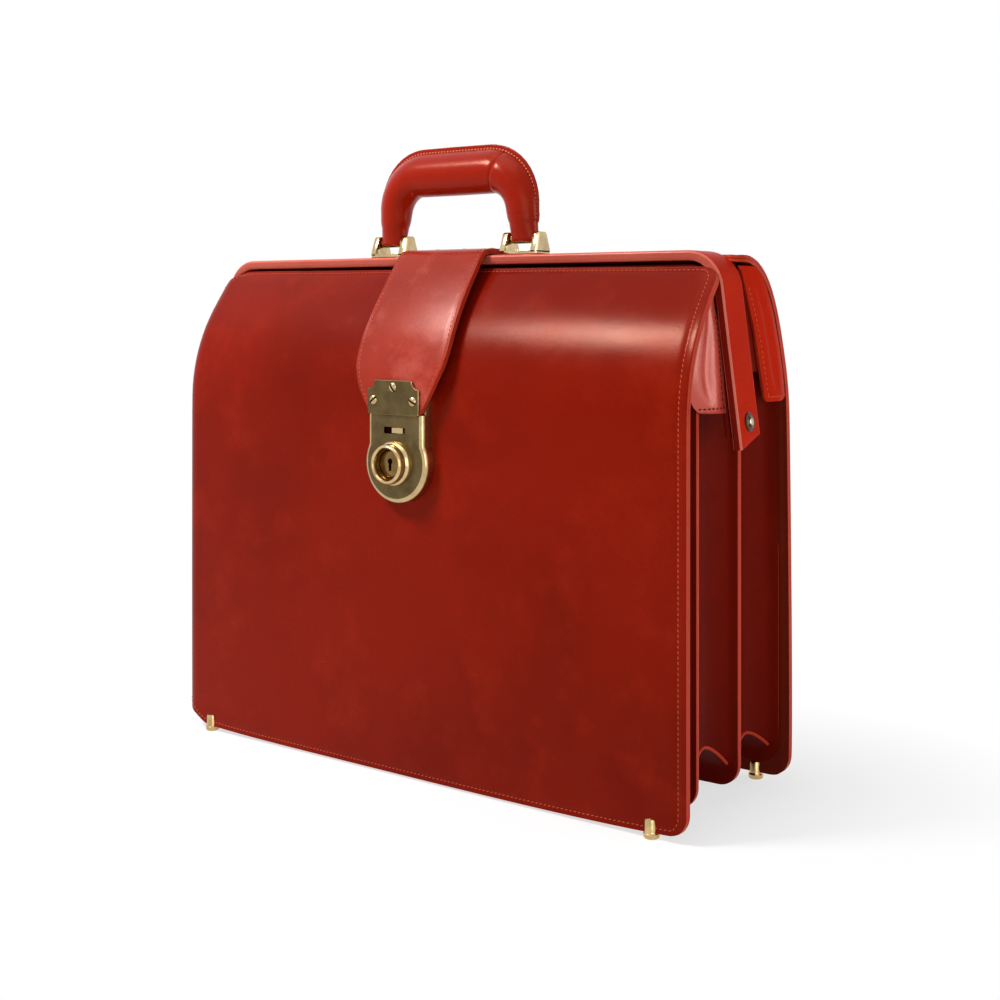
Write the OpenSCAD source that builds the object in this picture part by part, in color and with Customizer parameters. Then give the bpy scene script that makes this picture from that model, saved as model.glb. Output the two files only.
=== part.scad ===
// Doctor bag: leather brief bag with a hinged frame mouth, strap lock and top handle.
// Millimetres, +Z up, front of the bag towards -Y, resting on four clip feet at z = 0.

/* [Body] */
// Width of the front and rear panels
body_w = 430; // [340:5:520]
// Depth over the outer faces of the panels
body_d = 143; // [130:1:190]
// Height of the flat part of the front panel
front_flat_h = 240; // [225:1:300]
// Height of the flat part of the rear panel
rear_flat_h = 255; // [235:1:300]
// Height of the top of the frame
frame_top_h = 353; // [340:1:390]
// Thickness of a sewn double panel
panel_t = 4.5; // [3:0.1:6]
// Thickness of the stiffening boards
board_t = 1.5; // [1:0.1:3]
// Radius of the lower panel corners
corner_r = 12; // [6:1:24]
// Distance from the floor to the lower panel edge
panel_lift = 5; // [3:0.5:10]

/* [Compartments] */
// Depth of the front pocket
pocket_d = 20.5; // [14:0.5:26]
// Thickness of the pocket panel
pocket_t = 3; // [2:0.1:5]
// Depth of the front compartment
middle_d = 51.5; // [40:0.5:70]
// Thickness of the centre divider
divider_t = 4; // [2:0.1:6]
// Distance the dividers stand in from the panel edges
ridge_inset = 7; // [4:0.5:14]
// Depth of the side folds of the two wide gussets
fold_depth = 11; // [8:1:30]
// Rise of the bottom folds of the two wide gussets
fold_rise = 30; // [10:1:40]
// Depth of the folds of the narrow pocket gusset
pocket_fold = 8; // [6:1:18]
// Thickness of the gusset leather across the fold
gusset_t = 2.4; // [1.6:0.1:4]

/* [Frame] */
// Distance of the mouth in front of the middle of the bag
mouth_fore = 14; // [0:1:20]
// Width of the covered frame bar
frame_w = 28; // [22:1:36]
// Thickness of the covered frame bar
frame_t = 6.5; // [5:0.1:9]
// Thickness of the steel bars
steel_t = 2; // [1.5:0.1:3]
// Width of the inner jaw
jaw_w = 20; // [14:1:24]
// Thickness of the covered jaw
jaw_t = 4; // [3.6:0.1:6]
// Outer radius of the frame corners
frame_r = 25; // [20:1:40]
// Outward lean of the frame arms in degrees
arm_lean = 7.5; // [0:0.5:9]
// Height of the pivot rivets
pivot_h = 247; // [235:1:290]
// Diameter of the rivet shanks
rivet_d = 6; // [4:0.5:8]

/* [Handle] */
// Distance between the two brackets
bracket_gap = 116; // [100:1:150]
// Width of a bracket
bracket_w = 29; // [27:1:36]
// Thickness of a bracket post
post_t = 5; // [3:0.5:6]
// Radius of the grip
grip_r = 14; // [11:0.5:16]
// Height of the middle of the grip above the frame
grip_rise = 58.5; // [55:0.5:80]
// Bend radius of the handle
bend_r = 26; // [20:1:34]
// Height of the handle pins above the frame
pin_rise = 11.5; // [11:0.5:14]
// Diameter of the handle pins
pin_d = 3.6; // [3:0.1:5]

/* [Strap] */
// Width of the strap over the frame
strap_w = 73; // [50:1:76]
// Thickness of the outer strap layer
strap_t = 2.4; // [1.5:0.1:4]
// Thickness of the inner strap layer
lining_t = 1.6; // [1:0.1:3]
// Width of the strap plate
plate_w = 44; // [34:1:46]
// Height of the strap plate
plate_h = 23; // [20:0.5:28]

/* [Lock] */
// Diameter of the round lower part of the case
lock_d = 54; // [50:1:64]
// Width of the upper part of the case
lock_w = 48; // [42:1:50]
// Height of the middle of the key barrel
barrel_h = 213; // [200:1:216]
// Depth of the case
lock_depth = 11; // [10.5:0.1:14]
// Depth of the recessed upper part
hasp_depth = 7; // [6.8:0.1:8]
// Outer diameter of the barrel ring
barrel_d = 30; // [26:0.5:36]
// Length of the barrel ring
barrel_l = 10; // [8:0.5:14]
// Diameter of the key plug
plug_d = 18; // [15:0.5:20]

/* [Feet] */
// Diameter of a clip foot
foot_d = 10; // [8:0.5:12]
// Height of a clip foot
foot_h = 12; // [10:0.5:18]
// Distance from a panel end to the middle of a foot
foot_inset = 25; // [18:1:60]

/* [Hidden] */
$fn = 96;
// Gap between pieces that move past each other
gap = 0.3;
// Radial clearance of a turning pin
run = 0.05;
foot_proud = (foot_d - panel_t) / 2;
front_y = -body_d / 2;
rear_y = body_d / 2;
mid_y = (lock_depth + barrel_l - foot_proud) / 2;
front_in = front_y + panel_t;
rear_in = rear_y - panel_t;
mouth_y = -mouth_fore;
lip_y = mouth_y - frame_w / 2;
heel_y = mouth_y + frame_w / 2;
far = body_w + body_d;

// Front bend: an arc from the flat panel to the edge under the frame
crown_y = lip_y + 3;
crown_h = frame_top_h - 15;
crown_run = crown_y - front_y;
crown_rise = crown_h - front_flat_h;
crown_r = (crown_run * crown_run + crown_rise * crown_rise) / (2 * crown_run);
crown_cy = front_y + crown_r;
crown_a = asin(crown_rise / crown_r);
crown_back = crown_cy - lip_y + gap;
crown_in = crown_r - panel_t;
crown_step = front_flat_h + sqrt(crown_in * crown_in - crown_back * crown_back);

// Rear bend: an arc from the flat panel to the heel of the frame
back_h = frame_top_h - 2;
back_run = rear_y - heel_y;
back_rise = back_h - rear_flat_h;
back_r = (back_run * back_run + back_rise * back_rise) / (2 * back_run);
back_cy = rear_y - back_r;

// Compartment walls
ridge_x = body_w / 2 - ridge_inset;
ridge_z = foot_h + 0.5;
pocket_y0 = front_in + pocket_d;
pocket_y1 = pocket_y0 + pocket_t;
divider_y0 = pocket_y1 + middle_d;
divider_y1 = divider_y0 + divider_t;
board_w = body_w - 24;
board_z = ridge_z + gusset_t + 2.6;
pocket_top = pivot_h + 33;
divider_top = frame_top_h - 33;
gusset_top = frame_top_h - 53;
front_top = pivot_h + 33;

// Frame and jaw
bar_x = body_w / 2 - frame_r + 1;
jaw_r = frame_r - frame_t - 2.2;
frame_c = frame_top_h - frame_r;
tip_h = pivot_h - 16;
arm_slope = tan(arm_lean);
arm_step = 0.3;
arm_face = bar_x + frame_r - arm_step + (frame_c - pivot_h) * arm_slope;
jaw_in = bar_x + jaw_r - jaw_t + arm_step + (frame_c - pivot_h) * arm_slope;
head_r = rivet_d / 2 + 3.5;
tail_r = rivet_d / 2 + 2;
head_x = arm_face - head_r * arm_slope - 0.2;
tail_x = jaw_in - tail_r * arm_slope - gap;
ear_x = ridge_x + 0.6;
ear_t = 2.6;
ear_step = frame_c - (ear_x + ear_t + gap - bar_x - frame_r + frame_t + arm_step)
  / max(arm_slope, 0.05);

// Handle
pin_h = frame_top_h + pin_rise;
grip_h = frame_top_h + grip_rise;
leg_x = bracket_gap / 2;
leg_w = bracket_w - 2 * post_t - 1;
leg_d = 14;
flare_z = pin_h + 8;
leg_z = pin_h + 18;
core_z = pin_h + 14;
base_t = 3;
post_h = pin_rise + 4;
base_d = 18;
post_top_d = 9;
welt_w = 4.5;
welt_t = 2.2;
core_r = 5;
bush_r = pin_d / 2 + 2;
screw_r = 1.6;
screw_step = 5;
screw_head_r = 3;
screw_head_t = 1;

// Strap
strap_gap = 0.6;
strap_z = frame_top_h + strap_gap;
strap_full = strap_t + lining_t;
strap_y = front_y - hasp_depth - 0.4;
hinge_y = mouth_y;
strap_low = barrel_h + 33;
arc_h = strap_low + 12;
nose_y = lip_y - 1.1;
nose_h = frame_top_h - 0.4;
sweep_run = nose_y - strap_y;
sweep_rise = nose_h - arc_h;
sweep_r = (sweep_run * sweep_run + sweep_rise * sweep_rise) / (2 * sweep_run);
sweep_cy = strap_y + sweep_r;
sweep_a = asin(sweep_rise / sweep_r);
nose_r = (strap_z - arc_h - sweep_r * sin(sweep_a)) / (1 - sin(sweep_a));
nose_cy = sweep_cy - (sweep_r - nose_r) * cos(sweep_a);
nose_ch = arc_h + (sweep_r - nose_r) * sin(sweep_a);
root_y = hinge_y + strap_full / 2 + 0.5;

// Strap plate and staple
plate_t = 1.6;
plate_y = strap_y - strap_full;
plate_screw_r = 1.4;
dome_r = 3.2;
dome_h = 1.5;
staple_w = 6;
staple_z = strap_low + 7;
staple_h = 7.4;
staple_t = 1.5;
staple_end = front_y - 1.7;
back_w = 30;
back_h2 = arc_h - strap_low - 3;

// Lock
wall = 1.5;
face_y = front_y - lock_depth;
hasp_y = front_y - hasp_depth;
step_z = strap_low - 2;
lock_top = strap_low + 20;
slot_w = 18.4;
slot_h = 4.6;
slot_z = barrel_h + 22;
tab_w = 9.4;
tab_x = -2.7;
bolt_t = 1.6;
bolt_y = front_y - 5.1;
bolt_throw = 5.5;
finger_h = 3.4;
finger_x = staple_w / 2 + 0.6;
web_x = finger_x + bolt_throw + gap;
ring_r = barrel_d / 2;
plug_r = plug_d / 2;
lock_screw_r = 1.5;
lock_screw_x = lock_w / 2 - 6;
lock_screw_z = 11;

// Helpers

// A (Y, Z) drawing extruded along X between two positions
module along_x(x0, x1) {
  translate([x0, mid_y, 0])
    rotate([90, 0, 90])
      linear_extrude(x1 - x0)
        children();
}

// An (X, Z) drawing extruded along Y between two positions
module along_y(y0, y1) {
  translate([0, mid_y + y1, 0])
    rotate([90, 0, 0])
      linear_extrude(y1 - y0)
        children();
}

// A rod along X
module rod_x(x0, x1, y, z, r) {
  translate([x0, mid_y + y, z])
    rotate([0, 90, 0])
      cylinder(h = x1 - x0, r = r);
}

// A rod along Y
module rod_y(y0, y1, x, z, r) {
  translate([x, mid_y + y1, z])
    rotate([90, 0, 0])
      cylinder(h = y1 - y0, r = r);
}

// A rod along Z
module rod_z(x, y, z0, z1, r) {
  translate([x, mid_y + y, z0])
    cylinder(h = z1 - z0, r = r);
}

// A block between two corners
module block(x0, x1, y0, y1, z0, z1) {
  translate([x0, mid_y + y0, z0])
    cube([x1 - x0, y1 - y0, z1 - z0]);
}

// Left and right copies
module both() {
  children();
  mirror([1, 0, 0])
    children();
}

// A dome of base radius a and height h, rising along +Z
module dome(a, h) {
  r = (a * a + h * h) / (2 * h);
  intersection() {
    translate([0, 0, h - r])
      sphere(r);
    translate([0, 0, h / 2])
      cube([2 * a + 1, 2 * a + 1, h], center = true);
  }
}

// Panel outline with rounded lower corners
module panel_shape(w, z0, z1, r) {
  translate([-w / 2, z0 + r])
    square([w, z1 - z0 - r]);
  translate([-w / 2 + r, z0])
    square([w - 2 * r, z1 - z0]);
  for (s = [-1, 1])
    translate([s * (w / 2 - r), z0 + r])
      circle(r);
}

// Band of a circle between two angles, no more than a quarter turn
module band(cy, cz, r0, r1, a0, a1) {
  m = (a0 + a1) / 2;
  k = 2 * r1;
  translate([cy, cz])
    intersection() {
      difference() {
        circle(r1);
        circle(r0);
      }
      polygon([[0, 0], [k * cos(a0), k * sin(a0)], [k * cos(m), k * sin(m)],
        [k * cos(a1), k * sin(a1)]]);
    }
}

// U bar of a given width about the mouth: top, bends and leaning arms that enter the bends
module u_bar(xs, cz, r1, th, w) {
  y0 = mouth_y - w / 2;
  y1 = mouth_y + w / 2;
  low = 150;
  lean = low * arm_slope;
  x0 = xs + r1 - th + arm_step;
  x1 = xs + r1 - arm_step;
  block(-xs, xs, y0, y1, cz + r1 - th, cz + r1);
  both() {
    along_y(y0, y1)
      band(xs, cz, r1 - th, r1, 0, 90);
    along_y(y0, y1)
      polygon([[x0, cz + 2], [x1, cz + 2], [x1, cz], [x1 + lean, cz - low],
        [x0 + lean, cz - low], [x0, cz]]);
  }
}

// Region above the slanting lower ends of the frame arms
module arm_region(inset) {
  along_x(-far, far)
    polygon([[lip_y - 5, tip_h + inset - 1], [lip_y + 5, tip_h + inset],
      [heel_y + 5, tip_h + inset + 9], [heel_y + 5, 2 * frame_top_h],
      [lip_y - 5, 2 * frame_top_h]]);
}

// Region of the jaw: everything above the pivots and a round end about them
module jaw_region(r) {
  along_x(-far, far)
    union() {
      translate([mouth_y - 2 * r, pivot_h])
        square([4 * r, frame_top_h]);
      translate([mouth_y, pivot_h])
        circle(r + 1.2);
    }
}

// Space inside the bent panels, for trimming gussets and dividers
module inside() {
  along_x(-far, far)
    intersection() {
      translate([front_in, ridge_z])
        square([rear_in - front_in, frame_top_h]);
      union() {
        translate([front_in, 0])
          square([rear_in - front_in, front_flat_h]);
        translate([crown_cy, front_flat_h])
          circle(crown_r - panel_t - 0.5);
      }
      union() {
        translate([front_in, 0])
          square([rear_in - front_in, rear_flat_h]);
        translate([back_cy, rear_flat_h])
          circle(back_r - panel_t - 0.5);
      }
    }
}

// One folded U gusset between two walls
module gusset(y0, y1, top, depth, rise) {
  ym = (y0 + y1) / 2;
  mitre = 60 * rise / depth;
  intersection() {
    union() {
      intersection() {
        both()
          translate([0, mid_y, 0])
            linear_extrude(top)
              polygon([[ridge_x, y0], [ridge_x - depth, ym], [ridge_x, y1],
                [ridge_x - gusset_t, y1], [ridge_x - depth - gusset_t, ym],
                [ridge_x - gusset_t, y0]]);
        along_y(y0 - 1, y1 + 1)
          polygon([[-ridge_x, ridge_z], [-ridge_x + 60, ridge_z + mitre],
            [ridge_x - 60, ridge_z + mitre], [ridge_x, ridge_z],
            [ridge_x + 1, ridge_z], [ridge_x + 1, top + 1],
            [-ridge_x - 1, top + 1], [-ridge_x - 1, ridge_z]]);
      }
      intersection() {
        along_x(-ridge_x, ridge_x)
          polygon([[y0, ridge_z], [ym, ridge_z + rise], [y1, ridge_z],
            [y1, ridge_z + gusset_t], [ym, ridge_z + rise + gusset_t],
            [y0, ridge_z + gusset_t]]);
        along_y(y0 - 1, y1 + 1)
          polygon([[-ridge_x, ridge_z], [-ridge_x + 60, ridge_z + mitre],
            [ridge_x - 60, ridge_z + mitre], [ridge_x, ridge_z]]);
      }
    }
    inside();
  }
}

// Body

module front_panel() {
  color("firebrick")
    difference() {
      along_y(front_y, front_in)
        panel_shape(body_w, panel_lift, front_flat_h, corner_r);
      lock_holes(lock_screw_r);
    }
}

// Outline of the front bend: its top corners pass inside the bends of the jaw
module crown_outline() {
  r = jaw_r - jaw_t - gap;
  low = front_flat_h + gap;
  translate([-body_w / 2, low])
    square([body_w, crown_step - low]);
  translate([-bar_x - r, low])
    square([2 * (bar_x + r), frame_c - low]);
  translate([-bar_x, low])
    square([2 * bar_x, frame_top_h - low]);
  for (s = [-1, 1])
    translate([s * bar_x, frame_c])
      circle(r);
}

module front_crown() {
  color("firebrick")
    difference() {
      intersection() {
        along_x(-body_w / 2, body_w / 2)
          band(crown_cy, front_flat_h, crown_r - panel_t, crown_r, 180 - crown_a, 180);
        along_y(front_y - 1, heel_y)
          crown_outline();
      }
      lock_holes(lock_screw_r);
    }
}

module front_backing() {
  color("saddlebrown")
    difference() {
      along_y(front_in, front_in + board_t)
        panel_shape(board_w, board_z, front_flat_h, corner_r);
      lock_holes(lock_screw_r);
    }
}

module rear_panel() {
  color("firebrick") {
    along_y(rear_in, rear_y)
      panel_shape(body_w, panel_lift, rear_flat_h, corner_r);
    along_x(-body_w / 2, body_w / 2)
      intersection() {
        band(back_cy, rear_flat_h, back_r - panel_t, back_r, 0, 90);
        translate([heel_y, rear_flat_h])
          square([body_d, frame_top_h]);
      }
  }
}

module rear_backing() {
  color("saddlebrown")
    along_y(rear_in - board_t, rear_in)
      panel_shape(board_w, board_z, rear_flat_h, corner_r);
}

module pocket_divider() {
  color("firebrick")
    intersection() {
      along_y(pocket_y0, pocket_y1)
        panel_shape(2 * ridge_x, ridge_z, pocket_top, corner_r);
      inside();
    }
}

module centre_divider() {
  color("firebrick")
    along_y(divider_y0, divider_y1)
      panel_shape(2 * ridge_x, ridge_z, divider_top, corner_r);
}

module pocket_gusset() {
  color("maroon")
    gusset(front_in, pocket_y0, front_flat_h + 20, pocket_fold, pocket_fold);
}

module front_gusset() {
  color("maroon")
    gusset(pocket_y1, divider_y0, front_top, fold_depth, fold_rise);
}

module rear_gusset() {
  color("maroon")
    gusset(divider_y1, rear_in, gusset_top, fold_depth, fold_rise);
}

// Ears

module front_ear_shape() {
  edge = mouth_y - jaw_w / 2 - gap;
  low = pivot_h + 6.5;
  intersection() {
    translate([crown_cy, front_flat_h])
      circle(crown_r - panel_t - 0.5);
    polygon([[edge, low], [edge, ear_step], [lip_y - gap, ear_step],
      [lip_y - gap, frame_top_h], [front_in, frame_top_h],
      [front_in + 5.5, pivot_h + 28], [front_in + 8, pivot_h + 19],
      [front_in + 10, pivot_h + 10], [front_in + 15, low]]);
  }
}

module rear_ear_shape() {
  low = rear_flat_h + 1;
  intersection() {
    translate([back_cy, rear_flat_h])
      circle(back_r - panel_t - 0.5);
    translate([heel_y + 0.5, low])
      square([body_d, frame_top_h - frame_t - 0.5 - low]);
  }
}

module front_ear_right() {
  color("indianred")
    along_x(ear_x, ear_x + ear_t)
      front_ear_shape();
}

module front_ear_left() {
  color("indianred")
    along_x(-ear_x - ear_t, -ear_x)
      front_ear_shape();
}

module rear_ear_right() {
  color("indianred")
    along_x(ear_x, ear_x + ear_t)
      rear_ear_shape();
}

module rear_ear_left() {
  color("indianred")
    along_x(-ear_x - ear_t, -ear_x)
      rear_ear_shape();
}

// Frame and jaw

module pivot_bores(r) {
  both()
    rod_x(ridge_x, ridge_x + 60, mouth_y, pivot_h, r);
}

module frame_bar(inset) {
  intersection() {
    u_bar(bar_x, frame_c, frame_r - inset * (frame_t - steel_t) / 2,
      frame_t - inset * (frame_t - steel_t), frame_w - 6 * inset);
    arm_region(4 * inset);
  }
}

module frame_core() {
  color("silver")
    difference() {
      frame_bar(1);
      pivot_bores(rivet_d / 2);
      bracket_holes(screw_r);
      root_holes();
    }
}

module frame_cover() {
  color("firebrick")
    difference() {
      frame_bar(0);
      frame_bar(1);
      pivot_bores(rivet_d / 2);
      both()
        rod_x(head_x, head_x + 40, mouth_y, pivot_h, head_r + 0.2);
      bracket_holes(screw_r);
      root_holes();
    }
}

// U bar of the jaw: the top stands lower than the bend so that it swings clear
module jaw_bar(inset) {
  k = inset * (jaw_t - steel_t) / 2;
  intersection() {
    u_bar(bar_x, frame_c, jaw_r - k, jaw_t - 2 * k, jaw_w - 6 * inset);
    jaw_region(jaw_w / 2 - 3 * inset);
  }
}

module jaw_core() {
  color("silver")
    difference() {
      jaw_bar(1);
      pivot_bores(rivet_d / 2 + run);
    }
}

module jaw_cover() {
  color("maroon")
    difference() {
      union() {
        jaw_bar(0);
        along_x(-bar_x + 12, bar_x - 12)
          band(crown_cy, front_flat_h, crown_r - panel_t - 3, crown_r - panel_t,
            180 - crown_a, 186 - crown_a);
        block(-bar_x, bar_x, mouth_y - jaw_w / 2 + 2.6, mouth_y - jaw_w / 2 + 6.1,
          crown_h - 6.5, frame_c + jaw_r - jaw_t / 2);
      }
      jaw_bar(1);
      pivot_bores(rivet_d / 2 + run);
    }
}

module pivot_rivets() {
  color("saddlebrown")
    both() {
      rod_x(tail_x, head_x, mouth_y, pivot_h, rivet_d / 2);
      rod_x(tail_x - 1.5, tail_x, mouth_y, pivot_h, tail_r);
      rod_x(head_x, head_x + 1.4, mouth_y, pivot_h, head_r);
      translate([head_x + 1.4, mid_y + mouth_y, pivot_h])
        rotate([0, 90, 0])
          dome(head_r, 2.6);
    }
}

// Handle

// Path solid of the handle: grip, bends and legs of one radius
module handle_path(r, low) {
  cx = leg_x - bend_r;
  rod_x(-cx, cx, mouth_y, grip_h, r);
  both() {
    translate([cx, mid_y + mouth_y, grip_h - bend_r])
      rotate([90, 0, 0])
        rotate_extrude(angle = 90)
          translate([bend_r, 0])
            circle(r);
    rod_z(leg_x, mouth_y, low, grip_h - bend_r, r);
  }
}

module handle_body() {
  handle_path(grip_r, leg_z);
  both() {
    translate([leg_x, mid_y + mouth_y, flare_z])
      cylinder(h = leg_z - flare_z, r1 = leg_w / 2, r2 = grip_r);
    block(leg_x - leg_w / 2, leg_x + leg_w / 2, mouth_y - leg_d / 2, mouth_y + leg_d / 2,
      pin_h, flare_z);
    rod_x(leg_x - leg_w / 2, leg_x + leg_w / 2, mouth_y, pin_h, leg_d / 2);
  }
}

module handle_grip() {
  color("firebrick")
    difference() {
      handle_body();
      handle_path(core_r, core_z);
      both()
        rod_x(leg_x - leg_w, leg_x + leg_w, mouth_y, pin_h, bush_r);
    }
}

module handle_core() {
  color("tan")
    handle_path(core_r, core_z);
}

module handle_welt() {
  cx = leg_x - bend_r;
  cz = grip_h - bend_r;
  r1 = bend_r + grip_r + welt_w;
  color("indianred")
    difference() {
      along_y(mouth_y - welt_t / 2, mouth_y + welt_t / 2)
        union() {
          translate([-cx, cz + bend_r])
            square([2 * cx, r1 - bend_r]);
          for (s = [0, 1])
            mirror([s, 0]) {
              band(cx, cz, bend_r, r1, 0, 90);
              translate([cx + bend_r, leg_z])
                square([r1 - bend_r, cz - leg_z]);
            }
        }
      handle_body();
    }
}

module handle_bushes() {
  color("goldenrod")
    both()
      difference() {
        rod_x(leg_x - leg_w / 2, leg_x + leg_w / 2, mouth_y, pin_h, bush_r);
        rod_x(leg_x - leg_w, leg_x + leg_w, mouth_y, pin_h, pin_d / 2 + run);
      }
}

module handle_pins() {
  color("goldenrod")
    both()
      rod_x(leg_x - bracket_w / 2, leg_x + bracket_w / 2, mouth_y, pin_h, pin_d / 2);
}

module bracket_holes(r) {
  both()
    for (s = [-1, 1])
      rod_z(leg_x + s * screw_step, mouth_y, frame_top_h - frame_t - 1, frame_top_h + base_t, r);
}

module bracket() {
  color("gold")
    difference() {
      union() {
        block(leg_x - bracket_w / 2, leg_x + bracket_w / 2, mouth_y - base_d / 2,
          mouth_y + base_d / 2, frame_top_h, frame_top_h + base_t);
        for (x0 = [leg_x - bracket_w / 2, leg_x + bracket_w / 2 - post_t])
          along_x(x0, x0 + post_t)
            polygon([[mouth_y - base_d / 2, frame_top_h + base_t],
              [mouth_y - base_d / 2, frame_top_h + base_t / 2],
              [mouth_y + base_d / 2, frame_top_h + base_t / 2],
              [mouth_y + base_d / 2, frame_top_h + base_t],
              [mouth_y + post_top_d / 2, frame_top_h + post_h],
              [mouth_y - post_top_d / 2, frame_top_h + post_h]]);
      }
      rod_x(leg_x - bracket_w, leg_x + bracket_w, mouth_y, pin_h, pin_d / 2);
      bracket_holes(screw_r);
      for (s = [-1, 1])
        rod_z(leg_x + s * screw_step, mouth_y, frame_top_h + base_t - screw_head_t,
          frame_top_h + base_t + 1, screw_head_r);
    }
}

module bracket_right() {
  bracket();
}

module bracket_left() {
  mirror([1, 0, 0])
    bracket();
}

module bracket_screws() {
  color("goldenrod")
    both()
      for (s = [-1, 1]) {
        rod_z(leg_x + s * screw_step, mouth_y, frame_top_h - frame_t, frame_top_h + base_t, screw_r);
        rod_z(leg_x + s * screw_step, mouth_y, frame_top_h + base_t - screw_head_t,
          frame_top_h + base_t, screw_head_r);
      }
}

// Strap

module strap_outline() {
  along_y(-2 * body_d, body_d)
    polygon([[-strap_w / 2, 2 * frame_top_h], [-strap_w / 2, strap_low + 54],
      [-strap_w / 2 - 1.5, strap_low + 36], [-strap_w / 2 + 4.5, strap_low + 8],
      [-plate_w / 2 - 1, strap_low], [plate_w / 2 + 1, strap_low],
      [strap_w / 2 - 4.5, strap_low + 8], [strap_w / 2 + 1.5, strap_low + 36],
      [strap_w / 2, strap_low + 54], [strap_w / 2, 2 * frame_top_h]]);
}

// Side profile of one strap layer between two distances from the inner face
module strap_layer(t0, t1) {
  w = strap_w / 2 + 4;
  intersection() {
    along_x(-w, w)
      union() {
        translate([nose_cy - 0.01, strap_z + t0])
          square([hinge_y - nose_cy + 0.01, t1 - t0]);
        band(nose_cy, nose_ch, nose_r + t0, nose_r + t1, 90, 180 - sweep_a);
        band(sweep_cy, arc_h, sweep_r + t0, sweep_r + t1, 180 - sweep_a, 180);
        translate([strap_y - t1, strap_low])
          square([t1 - t0, arc_h - strap_low]);
      }
    strap_outline();
  }
}

module hasp_holes() {
  for (p = plate_screws)
    rod_y(plate_y - 2, strap_y + 1, p[0], p[1], plate_screw_r);
}

module strap() {
  color("firebrick")
    difference() {
      strap_layer(lining_t, strap_full);
      hasp_holes();
    }
}

module strap_lining() {
  color("saddlebrown")
    difference() {
      strap_layer(0, lining_t);
      block(-back_w / 2, back_w / 2, strap_y - lining_t - 0.1, strap_y + 1,
        strap_low + 3, strap_low + 3 + back_h2);
      hasp_holes();
    }
}

module root_holes() {
  for (x = [-strap_w / 3, 0, strap_w / 3])
    rod_z(x, (root_y + heel_y) / 2, frame_top_h - frame_t - 1, frame_top_h + 1, screw_r);
}

module strap_root() {
  color("firebrick")
    difference() {
      block(-strap_w / 2, strap_w / 2, root_y, heel_y, frame_top_h, strap_z + strap_full);
      for (x = [-strap_w / 3, 0, strap_w / 3])
        rod_z(x, (root_y + heel_y) / 2, frame_top_h - 1, strap_z + strap_full + 1, screw_r);
    }
}

module root_rivets() {
  top = strap_z + strap_full;
  color("saddlebrown")
    for (x = [-strap_w / 3, 0, strap_w / 3]) {
      rod_z(x, (root_y + heel_y) / 2, frame_top_h - frame_t, top, screw_r);
      translate([x, mid_y + (root_y + heel_y) / 2, top])
        dome(3.5, 1.4);
    }
}

// Strap plate

plate_screws = [[0, strap_low + plate_h - 5], [-plate_w / 2 + 5, strap_low + 9],
  [plate_w / 2 - 5, strap_low + 9]];

module plate_shape() {
  z0 = strap_low - 0.5;
  difference() {
    translate([-plate_w / 2, z0])
      square([plate_w, plate_h]);
    for (s = [-1, 1])
      translate([s * plate_w / 2, z0 + plate_h])
        circle(6);
  }
}

module hasp_plate() {
  color("darkkhaki")
    difference() {
      along_y(plate_y - plate_t, plate_y)
        plate_shape();
      hasp_holes();
    }
}

module hasp_screws() {
  y1 = plate_y - plate_t;
  color("gold")
    for (p = plate_screws)
      difference() {
        union() {
          rod_y(y1, strap_y - lining_t, p[0], p[1], plate_screw_r);
          translate([p[0], mid_y + y1, p[1]])
            rotate([90, 0, 0])
              dome(dome_r, dome_h);
        }
        block(p[0] - dome_r, p[0] + dome_r, y1 - dome_h - 1, y1 - dome_h + 0.7,
          p[1] - 0.4, p[1] + 0.4);
      }
}

module hasp_back() {
  color("goldenrod")
    difference() {
      union() {
        block(-back_w / 2, back_w / 2, strap_y - lining_t, strap_y,
          strap_low + 3, strap_low + 3 + back_h2);
        block(-staple_w / 2, staple_w / 2, strap_y - 0.01, staple_end,
          staple_z - staple_h / 2, staple_z + staple_h / 2);
      }
      block(-staple_w, staple_w, strap_y, staple_end - staple_t + 0.3,
        staple_z - staple_h / 2 + staple_t, staple_z + staple_h / 2 - staple_t);
    }
}

// Lock

// Keyhole outline of the case, drawn smaller by k
module lock_shape(k) {
  r = 5 - k;
  w = lock_w - 2 * k;
  top = lock_top - k;
  translate([0, barrel_h])
    circle(lock_d / 2 - k);
  translate([-w / 2, barrel_h])
    square([w, top - r - barrel_h]);
  translate([-w / 2 + r, barrel_h])
    square([w - 2 * r, top - barrel_h]);
  for (s = [-1, 1])
    translate([s * (w / 2 - r), top - r])
      circle(r);
}

// Part of a drawing below or above the step of the case
module below_step() {
  intersection() {
    children();
    translate([-far, 0])
      square([2 * far, step_z]);
  }
}

module above_step(z) {
  intersection() {
    children();
    translate([-far, z])
      square([2 * far, far]);
  }
}

module lock_holes(r) {
  for (x = [-lock_screw_x, lock_screw_x])
    for (z = [barrel_h - lock_screw_z, barrel_h + lock_screw_z])
      rod_y(front_y - 3, front_in + board_t + 3, x, z, r);
}

module lock_case() {
  color("darkgoldenrod") {
    along_y(face_y + wall, front_y)
      below_step()
        difference() {
          lock_shape(0);
          lock_shape(wall);
        }
    along_y(hasp_y + 1.2, front_y)
      above_step(step_z)
        difference() {
          lock_shape(0);
          lock_shape(wall);
        }
  }
}

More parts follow.
